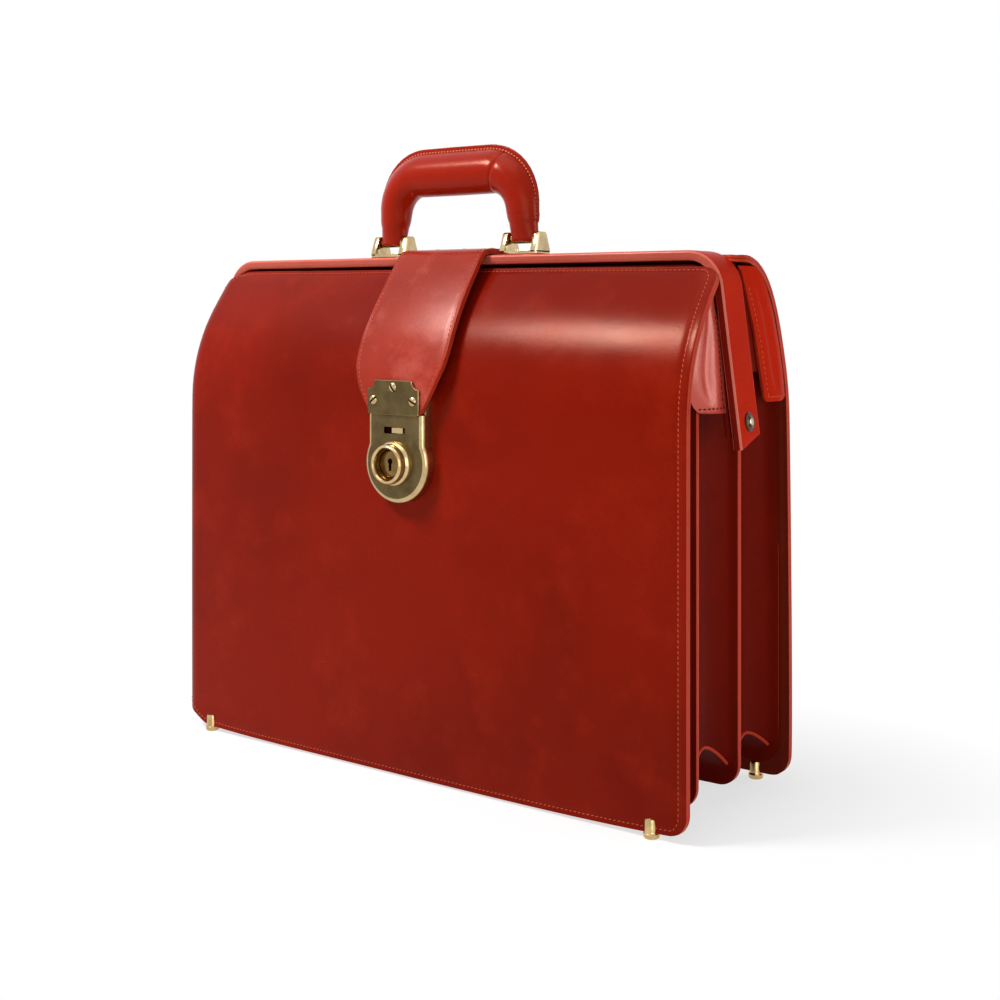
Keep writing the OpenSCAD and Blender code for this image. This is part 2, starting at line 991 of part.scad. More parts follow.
module lock_face() {
  color("darkkhaki")
    difference() {
      union() {
        along_y(face_y, face_y + wall)
          below_step()
            lock_shape(0);
        along_y(face_y + wall, hasp_y + 1.2)
          above_step(step_z - 1.2)
            below_step()
              lock_shape(wall);
        along_y(hasp_y, hasp_y + 1.2)
          above_step(step_z)
            lock_shape(0);
      }
      block(-slot_w / 2, slot_w / 2, face_y - 1, face_y + wall + 1,
        slot_z - slot_h / 2, slot_z + slot_h / 2);
      block(-staple_w / 2 - 1, staple_w / 2 + 1, hasp_y - 1, hasp_y + 2,
        staple_z - staple_h / 2 - 0.7, staple_z + staple_h / 2 + 5.5);
      rod_y(face_y - 1, face_y + wall + 1, 0, barrel_h, plug_r + run);
    }
}

module lock_back() {
  color("darkgoldenrod")
    difference() {
      along_y(front_y - 1.2, front_y)
        lock_shape(wall);
      lock_holes(lock_screw_r);
    }
}

module lock_screws() {
  color("goldenrod")
    for (x = [-lock_screw_x, lock_screw_x])
      for (z = [barrel_h - lock_screw_z, barrel_h + lock_screw_z]) {
        rod_y(front_y - 1.2, front_in + board_t, x, z, lock_screw_r);
        rod_y(front_in + board_t, front_in + board_t + 1.2, x, z, lock_screw_r + 1.5);
      }
}

module lock_barrel() {
  color("gold")
    difference() {
      union() {
        rod_y(face_y - 4, face_y, 0, barrel_h, ring_r);
        rod_y(face_y - barrel_l, face_y - 4, 0, barrel_h, ring_r - 1.8);
      }
      rod_y(face_y - barrel_l - 1, face_y + 1, 0, barrel_h, plug_r + run);
    }
}

module key_plug() {
  front = face_y - barrel_l + 4;
  color("goldenrod")
    difference() {
      union() {
        rod_y(front, face_y + wall + gap, 0, barrel_h, plug_r);
        rod_y(face_y + wall + gap, face_y + wall + 1.5, 0, barrel_h, plug_r + 2);
      }
      rod_y(front - 1, front + 5, 0, barrel_h + 1.5, 2);
      block(-0.8, 0.8, front - 1, front + 5, barrel_h - 5, barrel_h);
    }
}

module lock_bolt() {
  y1 = bolt_y + bolt_t;
  color("gold") {
    block(tab_x, 16, bolt_y, y1, slot_z - 4, slot_z + 4);
    block(web_x, 16, bolt_y, y1, slot_z + 4, staple_z + finger_h / 2);
    block(finger_x, web_x, bolt_y, y1, staple_z - finger_h / 2, staple_z + finger_h / 2);
    block(tab_x, tab_x + tab_w, face_y + 0.4, bolt_y, slot_z - 1.8, slot_z + 1.8);
  }
}

// Feet

module feet() {
  color("gold")
    both()
      for (y = [front_y, rear_in])
        difference() {
          rod_z(body_w / 2 - foot_inset, y + panel_t / 2, 0, foot_h, foot_d / 2);
          block(0, body_w, y, y + panel_t, panel_lift, foot_h + 1);
        }
}

front_panel();
front_crown();
front_backing();
rear_panel();
rear_backing();
pocket_divider();
centre_divider();
pocket_gusset();
front_gusset();
rear_gusset();
front_ear_left();
front_ear_right();
rear_ear_left();
rear_ear_right();
frame_core();
frame_cover();
jaw_core();
jaw_cover();
pivot_rivets();
handle_grip();
handle_core();
handle_welt();
handle_bushes();
handle_pins();
bracket_left();
bracket_right();
bracket_screws();
strap_root();
root_rivets();
strap();
strap_lining();
hasp_plate();
hasp_screws();
hasp_back();
lock_case();
lock_face();
lock_back();
lock_screws();
lock_barrel();
key_plug();
lock_bolt();
feet();
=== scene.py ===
"""Doctor bag in red bridle leather: a framed mouth, a strap with a lock, and a top handle."""

import logging
import math
from dataclasses import dataclass, field
from enum import Enum
from typing import Callable, Sequence

import bmesh
import bpy
from mathutils import Matrix, Vector, noise


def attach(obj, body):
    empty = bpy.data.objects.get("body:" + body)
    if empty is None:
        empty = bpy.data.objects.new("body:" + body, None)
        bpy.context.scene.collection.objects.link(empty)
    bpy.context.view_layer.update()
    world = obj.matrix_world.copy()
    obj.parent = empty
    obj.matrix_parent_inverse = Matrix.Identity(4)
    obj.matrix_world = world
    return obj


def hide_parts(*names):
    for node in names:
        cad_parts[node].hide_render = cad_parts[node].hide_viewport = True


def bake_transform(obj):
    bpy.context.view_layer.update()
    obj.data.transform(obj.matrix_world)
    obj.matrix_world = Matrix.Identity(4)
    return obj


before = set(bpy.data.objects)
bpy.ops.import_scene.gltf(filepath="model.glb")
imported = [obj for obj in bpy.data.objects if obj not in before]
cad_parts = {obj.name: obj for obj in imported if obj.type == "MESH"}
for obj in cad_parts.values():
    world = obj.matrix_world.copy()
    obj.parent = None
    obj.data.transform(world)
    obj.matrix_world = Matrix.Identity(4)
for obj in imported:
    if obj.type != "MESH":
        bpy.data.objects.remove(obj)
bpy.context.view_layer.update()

LOG = logging.getLogger("doctor_bag")

# Shapes are drawn in millimetres about the middle of the panels and then set into the frame
MM = 0.001
MID_Y = 9.125
TO_FRAME = Matrix.Scale(MM, 4) @ Matrix.Translation((0.0, MID_Y, 0.0))
PANEL_HALF = 215.0
WALL_HALF = 208.0
WALL_LOW = 12.5
WALL_CORNER = 14.0
MOUTH_Y = -14.0
ARM_LEAN = 7.5
LEG_X = 58.0

Colour = tuple[float, float, float]
Point = tuple[float, float, float]
Pairs = Sequence[tuple[float, float]]
Spot = tuple[Vector, Vector]
Row = tuple[float, float, float, float]


def tone(red: int, green: int, blue: int) -> Colour:
    """Linear colour of a shade given as it looks on a screen, 0 to 255.

    Args:
        red: red share.
        green: green share.
        blue: blue share.

    Returns:
        The linear colour.
    """
    def linear(value: int) -> float:
        """Linear value of one channel."""
        c = value / 255.0
        return c / 12.92 if c <= 0.04045 else ((c + 0.055) / 1.055) ** 2.4

    return linear(red), linear(green), linear(blue)


def ease(low: float, high: float, value: float) -> float:
    """Smooth step from 0 at low to 1 at high."""
    t = min(1.0, max(0.0, (value - low) / (high - low)))
    return t * t * (3.0 - 2.0 * t)


def between(table: Pairs, value: float) -> float:
    """Reads a table of pairs with straight lines between its rows.

    Args:
        table: pairs with rising first values.
        value: where the table is read.

    Returns:
        The second value at that place.
    """
    if value <= table[0][0]:
        return table[0][1]
    for (a, p), (b, q) in zip(table, table[1:]):
        if value <= b:
            return p + (q - p) * (value - a) / (b - a)
    return table[-1][1]


def steps(edge: Sequence[float], length: float, pitch: float,
          far_edge: Sequence[float] | None = None) -> list[float]:
    """Positions along a length: close together at the ends, even between them.

    Args:
        edge: distances from the near end.
        length: the whole length.
        pitch: largest step of the even part.
        far_edge: distances from the far end, like the near end if left out.

    Returns:
        Rising positions from the first distance to the last.
    """
    far = edge if far_edge is None else far_edge
    room = length - edge[-1] - far[-1]
    count = max(1, math.ceil(room / pitch))
    even = [edge[-1] + room * i / count for i in range(1, count)]
    return [*edge, *even, *(length - d for d in reversed(far))]


class Wiring:
    """Adds and joins the nodes of one node tree."""

    def __init__(self, tree: bpy.types.NodeTree) -> None:
        """Starts on an existing tree."""
        self.tree = tree

    def node(self, kind: str, settings: dict | None = None, **sockets: object) -> bpy.types.Node:
        """Adds a node.

        Args:
            kind: the node's type.
            settings: its own properties.
            **sockets: input values, or outputs to join, by socket name with _ for a space.

        Returns:
            The node.
        """
        made = self.tree.nodes.new(kind)
        for key, value in (settings or {}).items():
            setattr(made, key, value)
        for key, value in sockets.items():
            self.feed(made.inputs[key.replace("_", " ")], value)
        return made

    def feed(self, socket: bpy.types.NodeSocket, value: object) -> None:
        """Joins an output to a socket, or sets the socket's own value.

        Args:
            socket: the input.
            value: an output, a colour or a plain value.
        """
        if isinstance(value, bpy.types.NodeSocket):
            self.tree.links.new(value, socket)
        elif isinstance(value, tuple) and socket.type == "RGBA":
            socket.default_value = (*value, 1.0)
        else:
            socket.default_value = value

    def mix(self, factor: object, first: object, second: object) -> bpy.types.NodeSocket:
        """Colour between two colours.

        Args:
            factor: share of the second colour.
            first: colour at 0.
            second: colour at 1.

        Returns:
            The mixed colour.
        """
        made = self.tree.nodes.new("ShaderNodeMix")
        made.data_type = "RGBA"
        for index, value in ((0, factor), (6, first), (7, second)):
            self.feed(made.inputs[index], value)
        return made.outputs[2]

    def calc(self, how: str, first: object, second: object) -> bpy.types.NodeSocket:
        """One step of arithmetic.

        Args:
            how: the operation.
            first: left value.
            second: right value.

        Returns:
            The result.
        """
        made = self.node("ShaderNodeMath", {"operation": how})
        self.feed(made.inputs[0], first)
        self.feed(made.inputs[1], second)
        return made.outputs[0]

    def vector(self, how: str, first: object, second: object = (0.0, 0.0, 0.0)) -> bpy.types.Node:
        """One step of arithmetic on vectors.

        Args:
            how: the operation.
            first: left vector.
            second: right vector.

        Returns:
            The node.
        """
        made = self.node("ShaderNodeVectorMath", {"operation": how})
        self.feed(made.inputs[0], first)
        self.feed(made.inputs[1], second)
        return made

    def mix_shader(self, factor: object, first: object, second: object) -> bpy.types.NodeSocket:
        """Shader between two shaders.

        Args:
            factor: share of the second shader.
            first: shader at 0.
            second: shader at 1.

        Returns:
            The mixed shader.
        """
        made = self.node("ShaderNodeMixShader")
        for index, value in enumerate((factor, first, second)):
            self.feed(made.inputs[index], value)
        return made.outputs[0]

    def span(self, value: object, low: float, high: float, to_low: object,
             to_high: object) -> bpy.types.NodeSocket:
        """A value moved from one range to another, held at its ends.

        Args:
            value: what is moved.
            low: lower end of its own range.
            high: upper end of its own range.
            to_low: what the lower end becomes.
            to_high: what the upper end becomes.

        Returns:
            The moved value.
        """
        made = self.node("ShaderNodeMapRange", None, Value=value, From_Min=low, From_Max=high,
                         To_Min=to_low, To_Max=to_high)
        return made.outputs[0]

    def cloud(self, vector: object, scale: object, detail: float = 3.0,
              rough: float = 0.55) -> bpy.types.NodeSocket:
        """Soft noise, about 0.5 on average.

        Args:
            vector: where it is read.
            scale: how fine it is.
            detail: number of finer layers.
            rough: strength of the finer layers.

        Returns:
            The noise.
        """
        made = self.node("ShaderNodeTexNoise", None, Vector=vector, Scale=scale, Detail=detail,
                         Roughness=rough)
        return made.outputs[0]


def group_of(name: str, inputs: Sequence[tuple[str, str]], outputs: Sequence[tuple[str, str]],
             fill: Callable[[Wiring, dict, dict], None]) -> bpy.types.NodeTree:
    """A shared node group, built the first time that it is asked for.

    Args:
        name: the group's name.
        inputs: names and socket types of its inputs.
        outputs: names and socket types of its outputs.
        fill: joins the inputs to the outputs.

    Returns:
        The group.
    """
    known = bpy.data.node_groups.get(name)
    if known:
        return known
    tree = bpy.data.node_groups.new(name, "ShaderNodeTree")
    for side, sockets in (("INPUT", inputs), ("OUTPUT", outputs)):
        for label, kind in sockets:
            tree.interface.new_socket(name=label, in_out=side, socket_type=kind)
    wiring = Wiring(tree)
    source = wiring.node("NodeGroupInput")
    target = wiring.node("NodeGroupOutput")
    fill(wiring, {s.name: s for s in source.outputs}, {s.name: s for s in target.inputs})
    return tree


COLOUR, VALUE = "NodeSocketColor", "NodeSocketFloat"
GRAIN_DEPTH = 0.0004
BRUSH_DEPTH = 0.0001


def fill_leather(w: Wiring, given: dict, wanted: dict) -> None:
    """Dyed leather: cloudy dye, rubbed pale patches, fine grain with pores; on the strap and the
    front ears the pale tone also stands in for their sheen (painted sheen).

    Args:
        w: wiring of the group.
        given: the group's inputs.
        wanted: the group's outputs.
    """
    place = w.node("ShaderNodeTexCoord").outputs["Object"]
    dye = w.cloud(place, 7.0, 4.0)
    rub = w.cloud(place, 26.0, 5.0, 0.62)
    fine = w.cloud(place, 420.0, 2.0)
    deep = w.calc("MULTIPLY", w.span(dye, 0.42, 0.68, 0.0, 1.0), given["Mottle"])
    pale = w.calc("MULTIPLY", w.span(rub, 0.52, 0.78, 0.0, 0.55), given["Mottle"])
    first = w.mix(deep, given["Mid"], given["Deep"])
    second = w.mix(pale, first, given["Pale"])
    speck = w.span(fine, 0.3, 0.7, 0.0, 0.22)
    w.feed(wanted["Colour"], w.mix(speck, second, given["Deep"]))
    cells = w.node("ShaderNodeTexVoronoi", {"feature": "F1"}, Vector=place, Scale=given["Grain"])
    crease = w.cloud(place, w.calc("MULTIPLY", given["Grain"], 0.35), 3.0)
    height = w.calc("ADD", w.calc("MULTIPLY", cells.outputs["Distance"], 0.55), crease)
    w.feed(wanted["Height"], height)
    gloss = w.calc("ADD", w.calc("MULTIPLY", rub, 0.7), w.calc("MULTIPLY", fine, 0.3))
    w.feed(wanted["Roughness"], w.span(gloss, 0.32, 0.68, given["Smooth"], given["Rough"]))


def fill_metal(w: Wiring, given: dict, wanted: dict) -> None:
    """Plated metal: cloudy tarnish, fine scratches, and a brushed height.

    Args:
        w: wiring of the group.
        given: the group's inputs.
        wanted: the group's outputs.
    """
    place = w.node("ShaderNodeTexCoord").outputs["Object"]
    spread = w.node("ShaderNodeMapping", None, Vector=place, Scale=(0.25, 1.0, 3.0)).outputs[0]
    cloud = w.cloud(place, 90.0, 4.0, 0.6)
    line = w.cloud(spread, 900.0, 2.0)
    dull = w.calc("MULTIPLY", w.span(cloud, 0.38, 0.66, 0.0, 1.0), given["Amount"])
    w.feed(wanted["Colour"], w.mix(dull, given["Clean"], given["Tarnish"]))
    haze = w.calc("ADD", w.calc("MULTIPLY", cloud, 0.6), w.calc("MULTIPLY", line, 0.4))
    w.feed(wanted["Roughness"], w.span(haze, 0.34, 0.66, given["Smooth"], given["Rough"]))
    w.feed(wanted["Height"], line)


LEATHER_IN = (("Mid", COLOUR), ("Deep", COLOUR), ("Pale", COLOUR), ("Mottle", VALUE),
              ("Grain", VALUE), ("Smooth", VALUE), ("Rough", VALUE))
METAL_IN = (("Clean", COLOUR), ("Tarnish", COLOUR), ("Amount", VALUE), ("Smooth", VALUE),
            ("Rough", VALUE))
FACE_OUT = (("Colour", COLOUR), ("Roughness", VALUE), ("Height", VALUE))


def start_material(name: str) -> tuple[bpy.types.Material, Wiring, bpy.types.Node]:
    """An empty node material with its shader and output.

    Args:
        name: the material's name.

    Returns:
        The material, its wiring and its shader.
    """
    made = bpy.data.materials.new(name)
    made.use_nodes = True
    made.node_tree.nodes.clear()
    wiring = Wiring(made.node_tree)
    shader = wiring.node("ShaderNodeBsdfPrincipled")
    wiring.node("ShaderNodeOutputMaterial", None, Surface=shader.outputs[0])
    return made, wiring, shader


@dataclass(frozen=True)
class Leather:
    """A dyed and polished leather, or its painted edge."""

    mid: Colour
    deep: Colour
    pale: Colour
    smooth: float = 0.26
    rough: float = 0.46
    mottle: float = 0.6
    grain: float = 1500.0
    bump: float = 0.1
    shine: float = 0.4
    gleam: Colour = (1.0, 0.45, 0.28)

    def material(self, name: str) -> bpy.types.Material:
        """The leather's material.

        Args:
            name: the material's name.

        Returns:
            The material.
        """
        made, w, shader = start_material(name)
        tree = group_of("leather_face", LEATHER_IN, FACE_OUT, fill_leather)
        face = w.node("ShaderNodeGroup", {"node_tree": tree}, Mid=self.mid, Deep=self.deep,
                      Pale=self.pale, Mottle=self.mottle, Grain=self.grain, Smooth=self.smooth,
                      Rough=self.rough)
        dent = w.node("ShaderNodeBump", None, Strength=self.bump, Distance=GRAIN_DEPTH,
                      Height=face.outputs["Height"])
        w.feed(shader.inputs["Base Color"], face.outputs["Colour"])
        w.feed(shader.inputs["Roughness"], face.outputs["Roughness"])
        w.feed(shader.inputs["Normal"], dent.outputs[0])
        shader.inputs["Specular IOR Level"].default_value = self.shine
        shader.inputs["Specular Tint"].default_value = (*self.gleam, 1.0)
        return made


@dataclass(frozen=True)
class Metal:
    """A plated or tarnished metal."""

    clean: Colour
    tarnish: Colour
    amount: float = 0.5
    smooth: float = 0.2
    rough: float = 0.36
    bump: float = 0.05

    def material(self, name: str) -> bpy.types.Material:
        """The metal's material.

        Args:
            name: the material's name.

        Returns:
            The material.
        """
        made, w, shader = start_material(name)
        tree = group_of("metal_face", METAL_IN, FACE_OUT, fill_metal)
        face = w.node("ShaderNodeGroup", {"node_tree": tree}, Clean=self.clean,
                      Tarnish=self.tarnish, Amount=self.amount, Smooth=self.smooth,
                      Rough=self.rough)
        dent = w.node("ShaderNodeBump", None, Strength=self.bump, Distance=BRUSH_DEPTH,
                      Height=face.outputs["Height"])
        w.feed(shader.inputs["Base Color"], face.outputs["Colour"])
        w.feed(shader.inputs["Roughness"], face.outputs["Roughness"])
        w.feed(shader.inputs["Normal"], dent.outputs[0])
        shader.inputs["Metallic"].default_value = 1.0
        return made


class Skin(Enum):
    """The finishes of the bag."""

    PANEL = Leather(tone(122, 17, 2), tone(98, 9, 1), tone(148, 32, 9), 0.17, 0.28, mottle=0.8,
                    shine=0.13)
    # Gusset leather darker than the panels: partly its own tone, partly painted shade of the
    # recessed folds and the end gaps
    GUSSET = Leather(tone(100, 14, 4), tone(76, 8, 3), tone(124, 24, 9), 0.34, 0.5, shine=0.03)
    # Painted reflection: a pale pinkish copy of the leather that stands in for the front ears'
    # sheen
    EAR = Leather(tone(188, 72, 58), tone(168, 52, 38), tone(206, 98, 84), 0.2, 0.32, shine=0.6,
                  gleam=(1.0, 0.6, 0.52))
    FRAME = Leather(tone(182, 35, 11), tone(158, 24, 7), tone(196, 50, 20), 0.22, 0.36, shine=0.01)
    # Painted highlight: a pale pinkish copy of the frame leather for the frame's rounded edges
    RIDGE = Leather(tone(200, 98, 80), tone(174, 70, 52), tone(216, 128, 110), 0.24, 0.36,
                    shine=0.3, gleam=(1.0, 0.75, 0.68))
    # Painted sheen: a pinkish copy of the frame leather for the front face of the frame's top bar
    LIP = Leather(tone(172, 82, 68), tone(146, 56, 42), tone(186, 104, 90), 0.3, 0.44, shine=0.1)
    # Painted shade: leather darker than the frame's, on the jaw cover and on the front faces of the
    # frame's arms
    JAW = Leather(tone(120, 20, 9), tone(92, 13, 6), tone(136, 28, 13), 0.5, 0.7, shine=0.1)
    HANDLE = Leather(tone(146, 25, 7), tone(118, 15, 4), tone(164, 38, 15), 0.18, 0.3, shine=0.23)
    # Strap leather with rubbed pale patches; its pale tone is raised pink to stand in for the
    # strap's broad sheen (painted sheen)
    STRAP = Leather(tone(156, 50, 35), tone(122, 27, 15), tone(196, 102, 90), 0.2, 0.34,
                    mottle=1.0, shine=0.2, gleam=(1.0, 0.58, 0.5))
    LINING = Leather(tone(104, 28, 14), tone(80, 18, 9), tone(122, 40, 22), 0.5, 0.7, grain=1000.0,
                     shine=0.12)
    EDGE = Leather(tone(176, 54, 31), tone(170, 44, 24), tone(212, 88, 58), 0.34, 0.5,
                   grain=2200.0, shine=0.1, gleam=(1.0, 0.6, 0.45))
    THREAD = Leather(tone(186, 74, 46), tone(158, 52, 30), tone(206, 102, 72), 0.55, 0.75,
                     grain=3600.0, bump=0.4, shine=0.2, gleam=(1.0, 0.7, 0.5))
    # Painted highlight: a paler copy of the thread, used on the handle's stitches
    PALE_THREAD = Leather(tone(214, 122, 90), tone(188, 92, 62), tone(230, 150, 118), 0.55, 0.75,
                          grain=3600.0, bump=0.4, shine=0.2, gleam=(1.0, 0.7, 0.5))
    DARK_THREAD = Leather(tone(88, 22, 12), tone(64, 14, 7), tone(112, 36, 20), 0.55, 0.75,
                          grain=3600.0, bump=0.4, shine=0.2)
    BOARD = Leather(tone(120, 90, 60), tone(96, 70, 46), tone(140, 110, 78), 0.7, 0.9)
    CORE = Leather(tone(150, 124, 88), tone(120, 96, 66), tone(168, 142, 106), 0.7, 0.9)
    STEEL = Metal(tone(176, 178, 180), tone(120, 120, 122))
    BRONZE = Metal(tone(84, 64, 52), tone(44, 32, 26), 0.8, 0.14, 0.24)
    BRASS = Metal(tone(212, 184, 132), tone(158, 128, 82), 0.6, 0.14, 0.28)
    # Darker brass on the barrel's throat and the sunken key plug
    OLD_BRASS = Metal(tone(140, 110, 66), tone(96, 72, 40), 0.6, 0.2, 0.36)
    PALE_BRASS = Metal(tone(208, 186, 146), tone(158, 132, 90), 0.6, 0.1, 0.2)
    ANTIQUE = Metal(tone(108, 92, 60), tone(80, 66, 42), 0.7, 0.3, 0.44)
    POLISHED = Metal(tone(200, 174, 128), tone(156, 128, 84), 0.5, 0.14, 0.26)
    # Painted shade: dark metal in the screw slots and on the disk behind the keyhole
    HOLLOW = Metal(tone(40, 32, 22), tone(20, 16, 12), 0.6, 0.5, 0.7)

    def material(self) -> bpy.types.Material:
        """The finish's material, made once."""
        name = "finish_" + self.name.lower()
        return bpy.data.materials.get(name) or self.value.material(name)


class Side(Enum):
    """The two ends of the bag."""

    LEFT = -1.0
    RIGHT = 1.0


@dataclass(frozen=True)
class Bend:
    """Where a soft piece turns from one body to another."""

    first: str
    second: str
    start: Point
    end: Point


MOUTH_BEND = Bend("body", "front_jaw", (0.0, -71.5, 247.0), (0.0, MOUTH_Y, 300.0))
STRAP_BEND = Bend("body", "strap", (0.0, -8.0, 355.6), (0.0, -20.0, 355.6))


@dataclass
class Dress:
    """How a finished piece shows, what it moves with and what it stands for."""

    skins: Sequence[Skin]
    body: str = "body"
    slot: str = ""
    nodes: Sequence[str] = ()
    bend: Bend | None = None
    sharp: float = 38.0


class Shape:
    """A mesh in the making, in millimetres."""

    def __init__(self) -> None:
        """Starts empty."""
        self.bm = bmesh.new()

    def sheet(self, cols: Sequence[float], rows: Sequence[float],
              place: Callable[[float, float], Vector]) -> "Shape":
        """Lays a grid over a surface.

        Args:
            cols: values of the first direction.
            rows: values of the second direction.
            place: point of the surface at a pair of values.

        Returns:
            The shape itself.
        """
        across, up = len(cols) - 1, len(rows) - 1
        made = bmesh.ops.create_grid(self.bm, x_segments=across, y_segments=up, size=0.5)
        for vert in made["verts"]:
            i, j = round((vert.co.x + 0.5) * across), round((vert.co.y + 0.5) * up)
            vert.co = place(cols[i], rows[j])
        self.bm.normal_update()
        return self

    def thicken(self, depth: float, rim: int = 1, rounding: float = 0.0) -> "Shape":
        """Gives every open sheet a thickness and rounds its rim.

        Args:
            depth: thickness behind the face.
            rim: number of the rim's finish.
            rounding: radius of the rim's edges.

        Returns:
            The shape itself.
        """
        bm = self.bm
        bm.normal_update()
        spots: dict[tuple, Vector] = {}
        for vert in bm.verts:
            key = vert.co.to_tuple(4)
            spots[key] = spots.get(key, Vector()) + vert.normal
        border = [e for e in bm.edges if e.is_boundary]
        faces = set(bm.faces)
        made = bmesh.ops.extrude_face_region(bm, geom=list(faces), use_keep_orig=True)["geom"]
        rims = {f for e in border for f in e.link_faces if f not in faces}
        for vert in (g for g in made if isinstance(g, bmesh.types.BMVert)):
            vert.co -= spots[vert.co.to_tuple(4)].normalized() * depth
        for face in rims:
            face.material_index = rim
        if rounding:
            edges = {e for f in rims for e in f.edges if any(g not in rims for g in e.link_faces)}
            self.soften(edges, rounding)
        return self.outward()

    def soften(self, edges: Sequence[bmesh.types.BMEdge], radius: float,
               count: int = 2) -> "Shape":
        """Rounds the given edges.

        Args:
            edges: what is rounded.
            radius: how far.
            count: steps of the rounding.

        Returns:
            The shape itself.
        """
        bmesh.ops.bevel(self.bm, geom=list(edges), offset=radius, offset_type="OFFSET",
                        segments=count, profile=0.5, affect="EDGES", clamp_overlap=True,
                        material=-1)
        return self

    def soften_sharp(self, radius: float, count: int = 2, angle: float = 40.0) -> "Shape":
        """Rounds every edge that turns sharply.

        Args:
            radius: how far.
            count: steps of the rounding.
            angle: least turn of a sharp edge, in degrees.

        Returns:
            The shape itself.
        """
        limit = math.radians(angle)
        return self.soften([e for e in self.bm.edges
                            if len(e.link_faces) == 2 and e.calc_face_angle() > limit],
                           radius, count)

    def outward(self) -> "Shape":
        """Turns all faces outwards."""
        bmesh.ops.recalc_face_normals(self.bm, faces=self.bm.faces[:])
        return self

    def sweep(self, profile: Pairs, stations: Sequence[Matrix]) -> "Shape":
        """Draws a closed profile along a row of stations and closes both ends.

        Args:
            profile: points in the plane of a station.
            stations: places of the profile, one after another.

        Returns:
            The shape itself.
        """
        bm = self.bm
        ring = [bm.verts.new(stations[0] @ Vector((a, b, 0.0))) for a, b in profile]
        edges = [bm.edges.new((ring[i], ring[(i + 1) % len(ring)])) for i in range(len(ring))]
        bmesh.ops.contextual_create(bm, geom=edges)
        for last, new in zip(stations, stations[1:]):
            made = bmesh.ops.extrude_edge_only(bm, edges=edges)["geom"]
            verts = [g for g in made if isinstance(g, bmesh.types.BMVert)]
            edges = [g for g in made if isinstance(g, bmesh.types.BMEdge)
                     and all(v in set(verts) for v in g.verts)]
            bmesh.ops.transform(bm, matrix=new @ last.inverted(), verts=verts)
        bmesh.ops.contextual_create(bm, geom=edges)
        return self.outward()

    def lathe(self, profile: Pairs, place: Matrix, count: int = 40, skin: int = 0) -> "Shape":
        """Turns a profile of (radius, height) about the axis of a place.

        Args:
            profile: radius and height pairs.
            place: where the axis stands and points.
            count: steps of the full turn.
            skin: number of the finish.

        Returns:
            The shape itself.
        """
        bm = bmesh.new()
        verts = [bm.verts.new((r, 0.0, h)) for r, h in profile]
        edges = [bm.edges.new(pair) for pair in zip(verts, verts[1:])]
        bmesh.ops.spin(bm, geom=verts + edges, cent=(0, 0, 0), axis=(0, 0, 1),
                       angle=math.tau, steps=count, use_merge=True)
        bmesh.ops.remove_doubles(bm, verts=bm.verts[:], dist=1e-4)
        return self.take(bm, place, skin)

    def plate(self, outline: Pairs, depth: float, place: Matrix, holes: Sequence[Pairs] = (),
              rounding: float = 0.0, rim: int = 0, count: int = 2) -> "Shape":
        """A flat plate with holes, its face in the plane of a place and its body behind.

        Args:
            outline: outer corner points.
            depth: thickness.
            place: where the face lies and looks.
            holes: inner outlines.
            rounding: radius of the outline's front edge.
            rim: number of the finish of the sides and the front edge.
            count: steps of the rounding.

        Returns:
            The shape itself.
        """
        bm = bmesh.new()
        loops = []
        for points in (outline, *holes):
            ring = [bm.verts.new((a, b, 0.0)) for a, b in points]
            loops += [bm.edges.new((ring[i], ring[(i + 1) % len(ring)])) for i in range(len(ring))]
        border = loops[:len(outline)]
        bmesh.ops.triangle_fill(bm, edges=loops, use_beauty=True, use_dissolve=False,
                                normal=(0, 0, 1))
        front = bm.faces[:]
        made = bmesh.ops.extrude_face_region(bm, geom=front, use_keep_orig=True)["geom"]
        back = [g for g in made if isinstance(g, bmesh.types.BMVert)]
        bmesh.ops.translate(bm, verts=back, vec=(0, 0, -depth))
        bm.normal_update()
        for face in bm.faces:
            if abs(face.normal.z) < 0.5:
                face.material_index = rim
        bmesh.ops.recalc_face_normals(bm, faces=bm.faces[:])
        if rounding:
            made = bmesh.ops.bevel(bm, geom=border, offset=rounding, offset_type="OFFSET",
                                   segments=count, profile=0.5, affect="EDGES",
                                   clamp_overlap=True, material=-1)
            for face in made["faces"]:
                face.material_index = rim
        return self.take(bm, place, None)

    def take(self, bm: bmesh.types.BMesh, place: Matrix, skin: int | None) -> "Shape":
        """Adds another mesh at a place and frees it.

        Args:
            bm: the mesh.
            place: where it goes.
            skin: number of its finish, or None to keep its own.

        Returns:
            The shape itself.
        """
        bmesh.ops.transform(bm, matrix=place, verts=bm.verts[:])
        bmesh.ops.recalc_face_normals(bm, faces=bm.faces[:])
        if skin is not None:
            for face in bm.faces:
                face.material_index = skin
        spare = bpy.data.meshes.new("spare")
        bm.to_mesh(spare)
        bm.free()
        self.bm.from_mesh(spare)
        bpy.data.meshes.remove(spare)
        return self

    def stitch(self, path: Sequence[Spot], pitch: float = 3.2, length: float = 2.5,
               width: float = 0.95, slant: float = 0.18) -> "Shape":
        """Sews a row of stitches along a path on a surface.

        Args:
            path: points with the outward direction at each.
            pitch: distance between stitches.
            length: length of a stitch.
            width: width of the thread.
            slant: turn of a stitch away from the row, in radians.

        Returns:
            The shape itself.
        """
        run = 0.0
        due = pitch / 2
        for (a, up), (b, up_b) in zip(path, path[1:]):
            part = (b - a).length
            while part > 0 and run + part >= due:
                share = (due - run) / part
                out = up.lerp(up_b, share).normalized()
                ahead = (b - a).normalized()
                across = out.cross(ahead).normalized()
                ahead = (ahead + across * math.tan(slant)).normalized()
                across = out.cross(ahead).normalized()
                turn = Matrix((ahead, across, out)).transposed().to_4x4()
                size = Matrix.Diagonal((length / 2, width / 2, 0.32, 1.0))
                spot = a.lerp(b, share) + out * 0.06
                bmesh.ops.create_icosphere(self.bm, subdivisions=1, radius=1.0,
                                           matrix=Matrix.Translation(spot) @ turn @ size)
                due += pitch
            run += part
        return self

